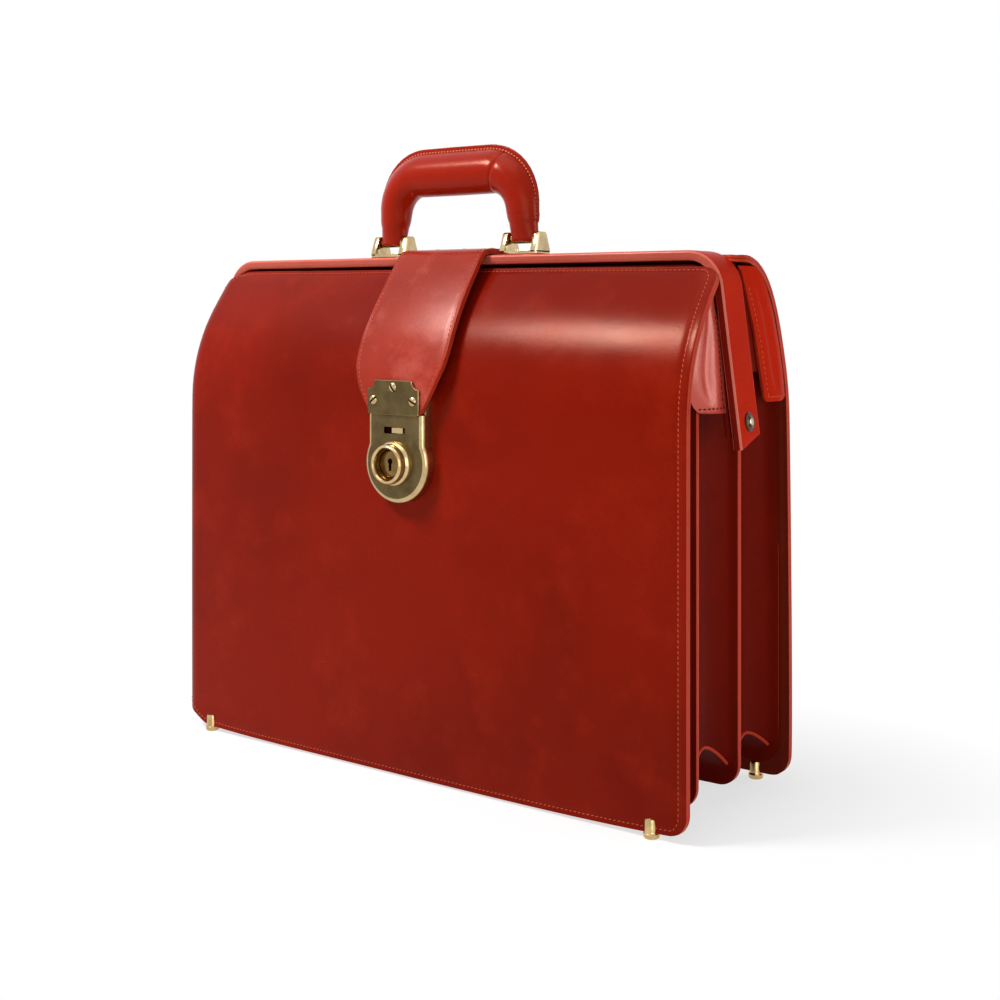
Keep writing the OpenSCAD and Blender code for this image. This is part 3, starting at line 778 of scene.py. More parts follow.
    def show(self, name: str, dress: Dress) -> bpy.types.Object:
        """Turns the shape into a finished piece of the bag.

        Args:
            name: the piece's name.
            dress: its finishes, body and the nodes that it stands for.

        Returns:
            The piece.
        """
        bmesh.ops.transform(self.bm, matrix=TO_FRAME, verts=self.bm.verts[:])
        mesh = bpy.data.meshes.new(name)
        self.bm.to_mesh(mesh)
        self.bm.free()
        for skin in dress.skins:
            mesh.materials.append(skin.material())
        mesh.shade_smooth()
        mesh.set_sharp_from_angle(angle=math.radians(dress.sharp))
        piece = bpy.data.objects.new(name, mesh)
        bpy.context.scene.collection.objects.link(piece)
        if dress.bend:
            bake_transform(piece)
        else:
            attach(piece, dress.body)
        if dress.nodes:
            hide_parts(*dress.nodes)
        LOG.info("%s: %d faces on %s", name, len(mesh.polygons), dress.body)
        return piece


def looking(forward: Point, right: Point, at: Point) -> Matrix:
    """A place whose face looks forward, with its first direction to the right.

    Args:
        forward: where the face looks.
        right: its first direction.
        at: its origin.

    Returns:
        The place.
    """
    z, x = Vector(forward).normalized(), Vector(right).normalized()
    return Matrix.Translation(at) @ Matrix((x, z.cross(x), z)).transposed().to_4x4()


def facing_front(x: float, y: float, z: float) -> Matrix:
    """A place that looks out of the front of the bag."""
    return looking((0, -1, 0), (1, 0, 0), (x, y, z))


def arc(cx: float, cy: float, radius: float, first: float, last: float,
        count: int) -> list[tuple[float, float]]:
    """Points of a circle between two angles in degrees, both ends included."""
    turn = [math.radians(first + (last - first) * i / count) for i in range(count + 1)]
    return [(cx + radius * math.cos(a), cy + radius * math.sin(a)) for a in turn]


def round_box(width: float, height: float, radius: float, count: int = 4,
              flat: float = 0.0) -> list[tuple[float, float]]:
    """Outline of a rectangle with rounded corners about the origin.

    Args:
        width: first size.
        height: second size.
        radius: radius of the corners.
        count: steps of each corner.
        flat: length of a short straight piece beside each corner, none if 0.

    Returns:
        The outline's points.
    """
    a, b = width / 2 - radius, height / 2 - radius
    points = []
    for cx, cy, turn in ((a, b, 0), (-a, b, 90), (-a, -b, 180), (a, -b, 270)):
        corner = arc(cx, cy, radius, turn, turn + 90, count)
        if flat:
            ahead = Vector((math.cos(math.radians(turn)), math.sin(math.radians(turn))))
            side = Vector((-ahead.y, ahead.x))
            first, last = Vector(corner[0]) - side * flat, Vector(corner[-1]) - ahead * flat
            corner = [tuple(first), *corner, tuple(last)]
        points += corner
    return points


@dataclass
class Curve:
    """A smooth line through points of the side view, read by its length."""

    knots: Pairs
    outward: float
    points: list[Vector] = field(default_factory=list)
    runs: list[float] = field(default_factory=list)

    def __post_init__(self) -> None:
        """Fills in the points between the knots."""
        ends = [Vector(k) for k in self.knots]
        ends = [ends[0] * 2 - ends[1], *ends, ends[-1] * 2 - ends[-2]]
        for p, q, r, s in zip(ends, ends[1:], ends[2:], ends[3:]):
            for i in range(12):
                t = i / 12
                self.points.append(0.5 * (2 * q + (r - p) * t + (2 * p - 5 * q + 4 * r - s) * t * t
                                          + (3 * q - p - 3 * r + s) * t ** 3))
        self.points.append(ends[-2])
        self.runs = [0.0]
        for p, q in zip(self.points, self.points[1:]):
            self.runs.append(self.runs[-1] + (q - p).length)

    @property
    def length(self) -> float:
        """Length of the whole line."""
        return self.runs[-1]

    def point(self, run: float) -> Vector:
        """The (y, z) point at a length.

        Args:
            run: length from the first knot.

        Returns:
            The point.
        """
        run = min(max(run, 0.0), self.length)
        for i, end in enumerate(self.runs[1:]):
            if run <= end:
                share = (run - self.runs[i]) / (end - self.runs[i])
                return self.points[i].lerp(self.points[i + 1], share)
        return self.points[-1]

    def out(self, run: float) -> Vector:
        """The direction out of the bag at a length."""
        ahead = (self.point(run + 1.5) - self.point(run - 1.5)).normalized()
        return Vector((-ahead.y, ahead.x)) * self.outward


@dataclass
class Panel:
    """A large panel of two leather layers, bent over at the top and sewn round its edge."""

    name: str
    half: float
    curve: Curve
    low_r: float
    top_r: float
    fullness: float
    nodes: Sequence[str]
    bend: Bend | None = None
    layer: float = 2.2
    side_seam: float = 5.7
    low_seam: float = 3.0
    top_seam: float = 2.4
    tilt: float = 0.0
    sag: float = 0.0
    roll: float = 0.0
    roll_from: float = 9.0
    roll_seam: float = 2.6
    roll_corner: float = 13.0
    uneven: float = 0.7
    pinch: float = 0.45
    pinch_w: float = 1.7
    rim_r: float = 0.7
    layer_gap: float = 0.1
    thread_w: float = 0.85
    col_pitch: float = 15.0
    row_pitch: float = 7.0
    edge: Sequence[float] = (0.0, 1.2, 2.4, 3.6, 4.9, 5.7, 6.5, 8.0, 10.5, 13.5, 17.0, 22.0)

    def turned(self, x: float) -> tuple[float, float, float]:
        """Rolls the left end of the panel back.

        Args:
            x: distance from the middle.

        Returns:
            The place across, the distance back and the turn.
        """
        past = -x - self.half + self.roll_from
        if past <= 0 or not self.roll:
            return x, 0.0, 0.0
        turn = past / self.roll_from * math.pi / 2
        across = self.roll_from - self.half - self.roll * math.sin(turn)
        return across, self.roll * (1 - math.cos(turn)), turn

    def spot(self, x: float, s: float, lift: float = 0.0) -> Vector:
        """Point of the panel.

        Args:
            x: distance from the middle.
            s: length from the lower edge.
            lift: distance out from the face.

        Returns:
            The point.
        """
        whole = self.curve.length
        flank = self.half - abs(x)
        pillow = (1 - abs(x / self.half) ** 3) * math.sin(math.pi * min(1.0, max(0.0, s / whole)))
        waves = noise.noise(Vector((x * 0.006, s * 0.008, self.half)))
        uneven = waves * self.uneven * ease(6, 60, flank)
        side_seam = self.roll_seam if self.roll and x < 0 else self.side_seam
        seam = min(flank - side_seam, s - self.low_seam, whole - s - self.top_seam)
        pinch = -self.pinch * math.exp(-(seam / self.pinch_w) ** 2)
        flat, out = self.curve.point(s), self.curve.out(s)
        rise = lift + self.fullness * pillow + uneven + pinch
        across, back, turn = self.turned(x)
        flat = flat + out * (rise * math.cos(turn) - back)
        climb = self.tilt * -x / self.half * ease(whole - 70, whole, s)
        climb -= self.sag * (1 - abs(x / self.half) ** 4) * ease(60, 0, s)
        return Vector((across - rise * math.sin(turn), flat.x, flat.y + climb))

    def corner(self, x: float, s: float) -> tuple[float, float]:
        """Moves a grid point into the rounded corners.

        Args:
            x: distance from the middle.
            s: length from the lower edge.

        Returns:
            The moved pair.
        """
        whole = self.curve.length
        more = self.roll_corner if self.roll and x < 0 else 0.0
        low, high = (self.low_r + more, s, 1.0), (self.top_r + more, whole - s, -1.0)
        for radius, end, sign in (low, high):
            a = (abs(x) - self.half + radius) / radius
            b = (radius - end) / radius
            if a > 0 and b > 0:
                p, q = a * math.sqrt(1 - b * b / 2), b * math.sqrt(1 - a * a / 2)
                x = math.copysign(self.half - radius + p * radius, x)
                end = radius - q * radius
                s = end if sign > 0 else whole - end
        return x, s

    def build_layer(self, lift: float) -> Shape:
        """One leather layer.

        Args:
            lift: distance of its face from the panel's face.

        Returns:
            The layer.
        """
        cols = [c - self.half for c in steps(self.edge, 2 * self.half, self.col_pitch)]
        rows = steps(self.edge, self.curve.length, self.row_pitch)
        flip = 1.0 if self.curve.outward > 0 else -1.0
        shape = Shape().sheet(cols, rows, lambda x, s: self.spot(*self.corner(flip * x, s), lift))
        return shape.thicken(self.layer, 1, self.rim_r)

    def seam_path(self) -> list[Spot]:
        """The row of stitches round the panel.

        Returns:
            Points with the outward direction at each.
        """
        right, left = self.seam_side(self.side_seam, 0.0), self.seam_side(self.side_seam, 0.0)
        if self.roll:
            left = self.seam_side(self.roll_seam, self.roll_corner)
        span = self.half - self.low_r - self.roll_corner
        base = [(span * (1 - i / 80), self.low_seam) for i in range(1, 160)]
        span, top = span + self.low_r - self.top_r, self.curve.length - self.top_seam
        head = [(span * (i / 80 - 1), top) for i in range(1, 160)]
        pairs = [*right, *base, *((-x, s) for x, s in reversed(left)), *head, right[0]]
        return [self.seam_spot(x, s) for x, s in pairs]

    def seam_side(self, seam: float, more: float) -> list[tuple[float, float]]:
        """The seam down one end.

        Args:
            seam: its distance from the edge.
            more: how much larger the corners are there.

        Returns:
            Pairs of the distance from the middle and the length from the lower edge.
        """
        whole = self.curve.length
        high, low = self.top_r + more, self.low_r + more
        upper = [(self.half - high + (high - seam) * a, whole - high + (high - self.top_seam) * b)
                 for a, b in arc(0.0, 0.0, 1.0, 90, 0, 12)]
        lower = [(self.half - low + (low - seam) * a, low + (low - self.low_seam) * b)
                 for a, b in arc(0.0, 0.0, 1.0, 360, 270, 12)]
        straight = whole - high - low
        side = [(self.half - seam, whole - high - straight * i / 160) for i in range(1, 160)]
        return [*upper, *side, *lower]

    def seam_spot(self, x: float, s: float) -> Spot:
        """A point of a seam.

        Args:
            x: distance from the middle.
            s: length from the lower edge.

        Returns:
            The point and the direction out of the leather.
        """
        out, turn = self.curve.out(s), self.turned(x)[2]
        lean = math.cos(turn)
        return self.spot(x, s), Vector((-math.sin(turn), out.x * lean, out.y * lean))

    def build(self) -> None:
        """Makes both layers and their stitches."""
        skins = (Skin.PANEL, Skin.EDGE)
        self.build_layer(0.0).show(self.name, Dress(skins, slot="panel_leather", nodes=self.nodes,
                                                    bend=self.bend))
        self.build_layer(-self.layer - self.layer_gap).show(
            self.name + "_lining", Dress((Skin.LINING, Skin.EDGE), slot="lining_leather",
                                         bend=self.bend))
        thread = Shape().stitch(self.seam_path(), width=self.thread_w)
        thread.show(self.name + "_stitches", Dress((Skin.THREAD,), slot="panel_leather",
                                                   bend=self.bend))


@dataclass
class Divider:
    """A stiff leather wall between two compartments."""

    name: str
    low_y: float
    thick: float
    top: float
    half: float = WALL_HALF
    low: float = WALL_LOW
    radius: float = WALL_CORNER

    def build(self) -> None:
        """Makes the wall with rounded lower corners and painted edges."""
        r = self.radius
        outline = [(-self.half, self.top), *arc(-self.half + r, self.low + r, r, 180, 270, 10),
                   *arc(self.half - r, self.low + r, r, 270, 360, 10), (self.half, self.top)]
        shape = Shape().plate(outline, self.thick, facing_front(0, self.low_y, 0), rim=1)
        shape.soften_sharp(min(1.1, self.thick * 0.35), 3, 60.0)
        shape.show(self.name, Dress((Skin.PANEL, Skin.EDGE), slot="panel_leather",
                                    nodes=(self.name,)))


@dataclass
class Gusset:
    """A folded leather gusset that runs down one end, along the bottom and up the other."""

    name: str
    front: float
    rear: float
    depth: float
    rise: float
    top: float
    ridge_x: float = WALL_HALF
    ridge_z: float = WALL_LOW
    radius: float = WALL_CORNER
    leather: float = 1.7
    turn_in: Pairs = ((0.0, 0.0),)
    soft: float = 0.5
    seam_at: Sequence[float] = (1.45, 4.55)
    seam_r: float = 1.1
    columns: Sequence[float] = (
        0, 0.012, 0.03, 0.055, 0.1, 0.17, 0.25, 0.34, 0.42, 0.47, 0.5,
        0.53, 0.58, 0.66, 0.75, 0.83, 0.9, 0.945, 0.97, 0.988, 1)

    def fold(self, t: float) -> float:
        """Share of the fold's depth at a share of its width, with a sewn flange at both walls."""
        edge = min(t, 1 - t)
        return 0.3 * ease(0.0, 0.05, edge) + 0.7 * (1 - abs(2 * t - 1) ** 1.7)

    def rails(self, station: float) -> tuple[Vector, Vector]:
        """Points of the ridge and of the valley, as (x, z), for the right half.

        Args:
            station: 0 to 1 down the end, 1 to 2 round the corner, 2 to 3 to the middle.

        Returns:
            The ridge's point and the valley's point.
        """
        apex = Vector((self.ridge_x - self.depth, self.ridge_z + self.rise))
        r = self.radius
        if station <= 1:
            z = self.top + (self.ridge_z + r - self.top) * station
            return Vector((self.ridge_x, z)), Vector((apex.x, max(z, apex.y)))
        if station <= 2:
            turn = math.radians(90 * (station - 1))
            ridge = Vector((self.ridge_x - r + r * math.cos(turn),
                            self.ridge_z + r - r * math.sin(turn)))
            return ridge, apex
        x = (self.ridge_x - r) * (3 - station)
        return Vector((x, self.ridge_z)), Vector((min(x, apex.x), apex.y))

    def spot(self, t: float, station: float) -> Vector:
        """Point of the leather's outer face.

        Args:
            t: share of the way from the front wall to the rear wall.
            station: place along the strip, 0 at the right top and 6 at the left top.

        Returns:
            The point.
        """
        mirror = 1.0 if station <= 3 else -1.0
        ridge, valley = self.rails(station if station <= 3 else 6 - station)
        flat = ridge.lerp(valley, self.fold(t))
        uneven = noise.noise(Vector((t * 2.0, station * 3.0, self.depth)))
        soft = uneven * self.soft * math.sin(math.pi * t)
        rear = self.rear - between(self.turn_in, flat.y)
        return Vector((mirror * (flat.x + soft), self.front + (rear - self.front) * t, flat.y))

    def build(self) -> None:
        """Makes the strip and the raised seams at its lower corners."""
        side = [i / 22 for i in range(23)]
        half = [*side, *(1 + i / 10 for i in range(1, 11)), *(2 + i / 14 for i in range(1, 15))]
        rows = [*half, *(6 - h for h in reversed(half[:-1]))]
        shape = Shape().sheet(self.columns, rows, self.spot).thicken(-self.leather, 1, 0.4)
        # Gusset leather darker than the panels: partly painted shade of the recessed folds
        shape.show(self.name, Dress((Skin.GUSSET, Skin.EDGE), slot="gusset_leather",
                                    nodes=(self.name,)))
        bead = Shape()
        for station in self.seam_at:
            line = [self.spot(t / 40, station) for t in range(2, 39)]
            bead.sweep(arc(0, 0, self.seam_r, 0, 315, 7), along(line))
        bead.show(self.name + "_seams", Dress((Skin.EDGE,), slot="gusset_leather"))


def along(line: Sequence[Vector]) -> list[Matrix]:
    """Stations that follow a line, each square to it.

    Args:
        line: points of the line.

    Returns:
        One place for each point.
    """
    found = []
    for i, point in enumerate(line):
        ahead = (line[min(i + 1, len(line) - 1)] - line[max(i - 1, 0)]).normalized()
        side = ahead.cross(Vector((0.0, 0.0, 1.0)))
        if side.length < 1e-3:
            side = ahead.cross(Vector((0.0, 1.0, 0.0)))
        found.append(looking(ahead, side.normalized(), point))
    return found


@dataclass
class Ear:
    """A soft leather ear that closes the gap between a panel and the frame."""

    name: str
    side: Side
    low: float
    top: float
    outer: Callable[[float], float]
    inner: Callable[[float], float]
    swell: float
    skin: Skin
    thread: Skin
    flare: Pairs
    bend: Bend | None = None
    face_x: float = 209.6
    leather: float = 2.2
    seam: float = 3.2
    stitches: tuple[float, float, float] = (3.6, 2.6, 1.3)

    def spot(self, u: float, z: float, lift: float = 0.0) -> Vector:
        """Point of the ear.

        Args:
            u: share of the way from the panel to the frame.
            z: height.
            lift: distance out from the face.

        Returns:
            The point.
        """
        a, b = self.outer(z), self.inner(z)
        taper = ease(self.top, self.top - 40, z)
        dent = 1 - 0.8 * math.exp(-((u - 0.5) / 0.15) ** 2) * ease(self.low, self.low + 22, z)
        x = self.face_x + self.swell * math.sin(math.pi * u) * dent * taper + lift
        x += between(self.flare, z) * u ** 1.6
        return Vector((self.side.value * x, a + (b - a) * u, z))

    def build(self) -> None:
        """Makes the ear and its stitches."""
        cols = steps((0.0, 0.02, 0.05, 0.1), 1.0, 0.045)
        rows = steps((self.low, self.low + 0.6, self.low + 1.6, self.low + 3, self.low + 5,
                      self.low + 8, self.low + 12), self.top, 5.0, (0.0, 1.0, 3.0))
        order = cols if self.side is Side.RIGHT else list(reversed(cols))
        rising = self.inner(self.low) > self.outer(self.low)
        order = order if rising else list(reversed(order))
        shape = Shape().sheet(order, rows, self.spot).thicken(self.leather, 1, 0.6)
        shape.show(self.name, Dress((self.skin, Skin.EDGE), slot="ear_leather", nodes=(self.name,),
                                    bend=self.bend))
        out = Vector((self.side.value, 0.0, 0.0))
        wide = abs(self.inner(self.low + 4) - self.outer(self.low + 4))
        start, climb = self.low + self.seam, self.top - self.low - 16
        inset = 1 - 3.4 / max(wide, 1.0)
        base = [(self.spot(0.06 + 0.86 * i / 40, start), out) for i in range(41)]
        flank = [(self.spot(inset, start + climb * i / 60), out) for i in range(61)]
        thread = Shape().stitch(base, *self.stitches).stitch(flank, *self.stitches)
        thread.show(self.name + "_stitches", Dress((self.thread,), slot="ear_leather",
                                                   bend=self.bend))


@dataclass
class Hoop:
    """A leather covered steel bar: straight top, two bends and two leaning arms."""

    name: str
    skin: Skin
    slot: str
    body: str
    front: float
    rear: float
    thick: float
    outer_r: float
    bar_x: float = 191.0
    bend_z: float = 328.0
    lean: float = ARM_LEAN
    arm: float = 118.0
    edge_r: float = 2.2
    # The rounded edges take a painted highlight and the top bar's front face a painted sheen
    ridge: Skin = Skin.RIDGE
    lip: Skin = Skin.LIP

    def stations(self) -> list[Matrix]:
        """Places of the bar's section.

        Returns:
            The places, from the left arm's end to the right arm's end.
        """
        radius = self.outer_r - self.thick / 2
        middle = (self.front + self.rear) / 2
        lean = math.radians(self.lean)
        right = []
        for i in range(13):
            turn = math.radians(90 - (90 - self.lean) * i / 12)
            right.append((self.bar_x + radius * math.cos(turn),
                          self.bend_z + radius * math.sin(turn), turn))
        x, z, turn = right[-1]
        for i in range(1, 15):
            far = self.arm * i / 14
            right.append((x + far * math.sin(lean), z - far * math.cos(lean), turn))
        top = [(self.bar_x * (i / 8), self.bend_z + radius, math.pi / 2) for i in range(0, 8)]
        half = [*top, *right]
        path = [*((-x, z, math.pi - turn) for x, z, turn in reversed(half[1:])), *half]
        return [looking((math.sin(a), 0.0, -math.cos(a)), (math.cos(a), 0.0, math.sin(a)),
                        (x, middle, z)) for x, z, a in path]

    def build(self, cut: Callable[[Shape], None]) -> None:
        """Makes the covered bar.

        Args:
            cut: shapes the ends of the arms.
        """
        profile = round_box(self.thick, self.rear - self.front, self.edge_r, 4, 0.5)
        shape = Shape().sweep(profile, self.stations())
        cut(shape)
        # On the frame cover the rounded edges get the painted highlight, the front face of the top
        # bar and upper bends the painted sheen, and the lower front faces of the arms darker
        # painted shade
        for face in shape.bm.faces:
            turn, low = -face.normal.y, face.calc_center_median().z < self.bend_z + 6
            face.material_index = 1 if 0.2 < abs(turn) < 0.97 else 0 if turn < 0.97 else 2 + low
        skins = (self.skin, self.ridge, self.lip, Skin.JAW)
        shape.show(self.name, Dress(skins, self.body, self.slot, (self.name,)))


def cut_frame_ends(shape: Shape) -> None:
    """Cuts the frame's arms along a slope that rises to the rear."""
    normal = Vector((0.0, -9.0, 28.0)).normalized()
    cut_below(shape, Vector((0.0, -28.0, 230.5)), normal)


def cut_jaw_ends(shape: Shape) -> None:
    """Cuts the jaw's arms just under the pivots."""
    cut_below(shape, Vector((0.0, MOUTH_Y, 236.5)), Vector((0.0, 0.0, 1.0)))


def cut_below(shape: Shape, at: Vector, up: Vector, rounding: float = 0.9) -> None:
    """Removes what lies under a plane and closes the cut.

    Args:
        shape: the shape to cut.
        at: a point of the plane.
        up: the side that stays.
        rounding: radius of the cut's edge.
    """
    bm = shape.bm
    made = bmesh.ops.bisect_plane(bm, geom=[*bm.verts, *bm.edges, *bm.faces], dist=1e-4,
                                  plane_co=at, plane_no=up, clear_inner=True)
    edges = [g for g in made["geom_cut"] if isinstance(g, bmesh.types.BMEdge)]
    bmesh.ops.edgenet_fill(bm, edges=edges)
    shape.outward()
    shape.soften([e for e in edges if e.is_valid], rounding)


@dataclass
class Handle:
    """A stuffed leather grip on a bent core, with a sewn welt along its outer side."""

    leg_x: float = LEG_X
    centre_y: float = MOUTH_Y
    pin_z: float = 364.5
    grip_z: float = 410.7
    bend_r: float = 26.0
    welt: float = 4.2
    lean: float = 0.1
    seam_turn: float = 72.5
    crease_z: float = 380.3
    leg_steps: Sequence[float] = (361.9, 362.3, 363.1, 364.5, 367, 369, 371, 373, 374.8, 376.5,
                                  379.5, 380.3, 381.1, 383)
    bend_steps: Sequence[float] = (0, 8, 16, 24, 32, 40, 48, 56, 64, 71, 72.5, 74, 80, 85, 90)
    welt_from: int = 8
    welt_w: float = 6.0
    welt_t: float = 1.16
    welt_r: float = 0.5
    welt_gap: float = 0.62
    welt_root: float = 2.4
    seam_y: float = 1.22
    stitches: tuple[float, float, float] = (2.7, 2.1, 1.15)
    wide: Pairs = (
        (-2.6, 8.3), (-2.2, 9.1), (-1.4, 9.6), (0, 9.9), (10.3, 9.9), (12, 10.6), (15, 11.2),
        (22, 11.5), (32, 12.2), (44, 13.4), (60, 14.7), (96, 14.9))
    deep: Pairs = (
        (-2.6, 5.4), (-2.2, 6.4), (-1.4, 7.0), (0, 7.3), (4, 8.0), (8, 9.2), (14, 10.4),
        (24, 11.8), (36, 12.8), (45, 13.3), (96, 13.3))

    def path(self) -> list[Row]:
        """Points of the core in the right half.

        Returns:
            Rows of x, z, the outward angle and the run from the pin, up to the middle.
        """
        cz = self.grip_z - self.bend_r
        run = cz - self.pin_z
        cx = self.leg_x - self.lean * run - self.bend_r
        rows = []
        for z in self.leg_steps:
            up = z - self.pin_z
            rows.append((self.leg_x - self.lean * max(0.0, up), z, 0.0, up))
        for degrees in self.bend_steps:
            turn = math.radians(degrees)
            rows.append((cx + self.bend_r * math.cos(turn), cz + self.bend_r * math.sin(turn),
                         turn, run + self.bend_r * turn))
        run = rows[-1][3]
        for x in (24, 16, 8, 0):
            rows.append((x, self.grip_z, math.pi / 2, run + cx - x))
        return rows

    def loop(self, first: int = 0) -> list[Row]:
        """Points of the core from the left leg over the top to the right leg.

        Args:
            first: number of rows left out at the foot of each leg.

        Returns:
            Rows like those of the path.
        """
        half = self.path()[first:]
        left = [(-x, z, math.pi - turn, run) for x, z, turn, run in half]
        return [*left, *reversed(half[:-1])]

    def stations(self) -> list[Matrix]:
        """Places of the grip's section along the whole handle.

        Returns:
            The places, each with the section's half widths as its scale.
        """
        found = []
        for x, z, turn, run in self.loop():
            wide, deep = between(self.wide, run), between(self.deep, run)
            seam = x > 0 and abs(math.degrees(turn) - self.seam_turn) < 0.1
            crease = x > 0 and abs(z - self.crease_z) < 0.1
            cut = 0.965 if seam else 0.985 if crease else 1.0
            place = looking((math.sin(turn), 0.0, -math.cos(turn)),
                            (math.cos(turn), 0.0, math.sin(turn)), (x, self.centre_y, z))
            found.append(place @ Matrix.Diagonal((wide * cut, deep * cut, 1.0, 1.0)))
        return found

    def build(self) -> None:
        """Makes the grip, its welt and the stitches."""
        drop = []
        for i in range(36):
            turn = math.tau * i / 36
            point = 1.0 + 0.1 * max(0.0, math.cos(turn)) ** 6
            drop.append((math.cos(turn) * point, math.sin(turn)))
        grip = Shape().sweep(drop, self.stations())
        piece = grip.show("handle_grip", Dress((Skin.HANDLE,), "handle", "handle_leather",
                                               ("handle_grip",), sharp=50.0))
        self.build_welt()

    def build_welt(self) -> None:
        """Makes the two leather edges that stand out along the loop's outer side."""
        places, rows = [], []
        for x, z, turn, run in self.loop(self.welt_from):
            wide = between(self.wide, run)
            out = Vector((math.cos(turn), 0.0, math.sin(turn)))
            rise = self.welt * (0.35 + 0.65 * ease(16, 54, run))
            base = Vector((x, self.centre_y, z)) + out * (wide + rise / 2 - 0.6)
            place = looking((math.sin(turn), 0.0, -math.cos(turn)), out, base)
            size = (rise + self.welt_root) / self.welt_w
            places.append(place @ Matrix.Diagonal((size, 1.0, 1.0, 1.0)))
            rows.append((x, z, out, wide, rise))
        welt = Shape()
        for y in (-self.welt_gap, self.welt_gap):
            lifted = [Matrix.Translation((0.0, y, 0.0)) @ p for p in places]
            welt.sweep(round_box(self.welt_w, self.welt_t, self.welt_r, 3), lifted)
        welt.show("handle_welt", Dress((Skin.HANDLE,), "handle", "handle_leather",
                                       ("handle_welt",)))
        thread = Shape()
        for sign in (-1.0, 1.0):
            y = self.centre_y + sign * self.seam_y
            path = [(Vector((x, y, z)) + out * (wide + rise * 0.45), Vector((0.0, sign, 0.0)))
                    for x, z, out, wide, rise in rows]
            thread.stitch(path, *self.stitches)
        # Handle stitches in the paler thread: painted highlight
        thread.show("handle_stitches", Dress((Skin.PALE_THREAD,), "handle", "handle_leather"))


@dataclass
class Bracket:
    """A bent brass bracket that carries one end of the handle."""

    side: Side
    leg_x: float = LEG_X
    centre_y: float = MOUTH_Y
    base_z: float = 353.0
    width: float = 29.8
    deep: float = 18.0
    base_t: float = 3.0
    post_t: float = 4.2
    post_top: float = 15.5
    top_deep: float = 9.0

    def build(self) -> None:
        """Makes the base and the two posts."""
        x, y, z = self.side.value * self.leg_x, self.centre_y, self.base_z
        shape = Shape().plate(round_box(self.width, self.deep, 1.0, 2), self.base_t,
                              looking((0, 0, 1), (1, 0, 0), (x, y, z + self.base_t)))
        a, b = self.deep / 2, self.top_deep / 2
        top, shoulder = self.post_top, self.post_top - 1.4
        outline = [(-a, 1.5), (a, 1.5), (a, self.base_t), (b + 0.5, shoulder), (b - 1.0, top),
                   (-b + 1.0, top), (-b - 0.5, shoulder), (-a, self.base_t)]
        for outer in (x - self.width / 2 + self.post_t, x + self.width / 2):
            shape.plate(outline, self.post_t, looking((1, 0, 0), (0, 1, 0), (outer, y, z)))
        shape.soften_sharp(0.5, 2, 35.0)
        name = "bracket_" + self.side.name.lower()
        shape.show(name, Dress((Skin.PALE_BRASS,), slot="pale_brass", nodes=(name,), sharp=30.0))


@dataclass
class Strap:
    """The lock strap: two leather layers from the frame's rear edge to the lock."""

    inner: Curve
    widths: Pairs
    outer_t: float = 2.4
    lining_t: float = 1.6
    seam: float = 2.6
    crown: float = 1.3
    pinch: float = 0.3
    pinch_w: float = 1.3
    edge: Sequence[float] = (0.0, 0.03, 0.07, 0.1, 0.13, 0.17, 0.24)

    def half(self, s: float) -> float:
        """Half of the strap's width at a length from its lower end."""
        return between(self.widths, s)

    def spot(self, u: float, s: float, lift: float = 0.0) -> Vector:
        """Point of the strap.

        Args:
            u: share of the width, -1 to 1.
            s: length from the lower end.
            lift: distance out from the inner face.

        Returns:
            The point.
        """
        flat, out = self.inner.point(s), self.inner.out(s)
        whole = self.inner.length
        crown = self.crown * (1 - u * u) * ease(26, 60, s) * ease(whole - 26, whole - 50, s)
        off_seam = (1 - abs(u)) * self.half(s) - self.seam
        pinch = -self.pinch * math.exp(-(off_seam / self.pinch_w) ** 2)
        flat = flat + out * (lift + crown + (pinch if lift > 3 else 0.0))
        return Vector((u * self.half(s), flat.x, flat.y))

    def build(self) -> None:
        """Makes both layers and their stitches."""
        whole = self.inner.length
        cols = [c - 1.0 for c in steps(self.edge, 2.0, 0.12)]
        rows = steps((0.0, 0.6, 1.6, 3.0, 5.0, 8.0), whole, 4.0, (0.0, 1.0, 2.5, 5.0))
        full = self.outer_t + self.lining_t
        face = Shape().sheet(cols, rows, lambda u, s: self.spot(u, s, full))
        face.thicken(self.outer_t, 1, 0.7)
        # Strap finish: its pale patches partly stand in for the strap's broad sheen (painted sheen)
        face.show("strap", Dress((Skin.STRAP, Skin.EDGE), slot="strap_leather", bend=STRAP_BEND,
                                 nodes=("strap", "strap_root")))
        under = Shape().sheet(cols, rows, lambda u, s: self.spot(u, s, self.lining_t - 0.05))
        under.thicken(self.lining_t - 0.1, 1, 0.5)
        under.show("strap_lining", Dress((Skin.LINING, Skin.EDGE), slot="lining_leather",
                                         bend=STRAP_BEND, nodes=("strap_lining",)))
        thread = Shape()
        for sign in (-1.0, 1.0):
            path = []
            for i in range(121):
                s = 3.0 + (whole - 8.0) * i / 120
                out = self.inner.out(s)
                path.append((self.spot(sign * (1 - self.seam / self.half(s)), s, full),
                             Vector((0.0, out.x, out.y))))
            thread.stitch(path)
        thread.show("strap_stitches", Dress((Skin.THREAD,), slot="strap_leather", bend=STRAP_BEND))


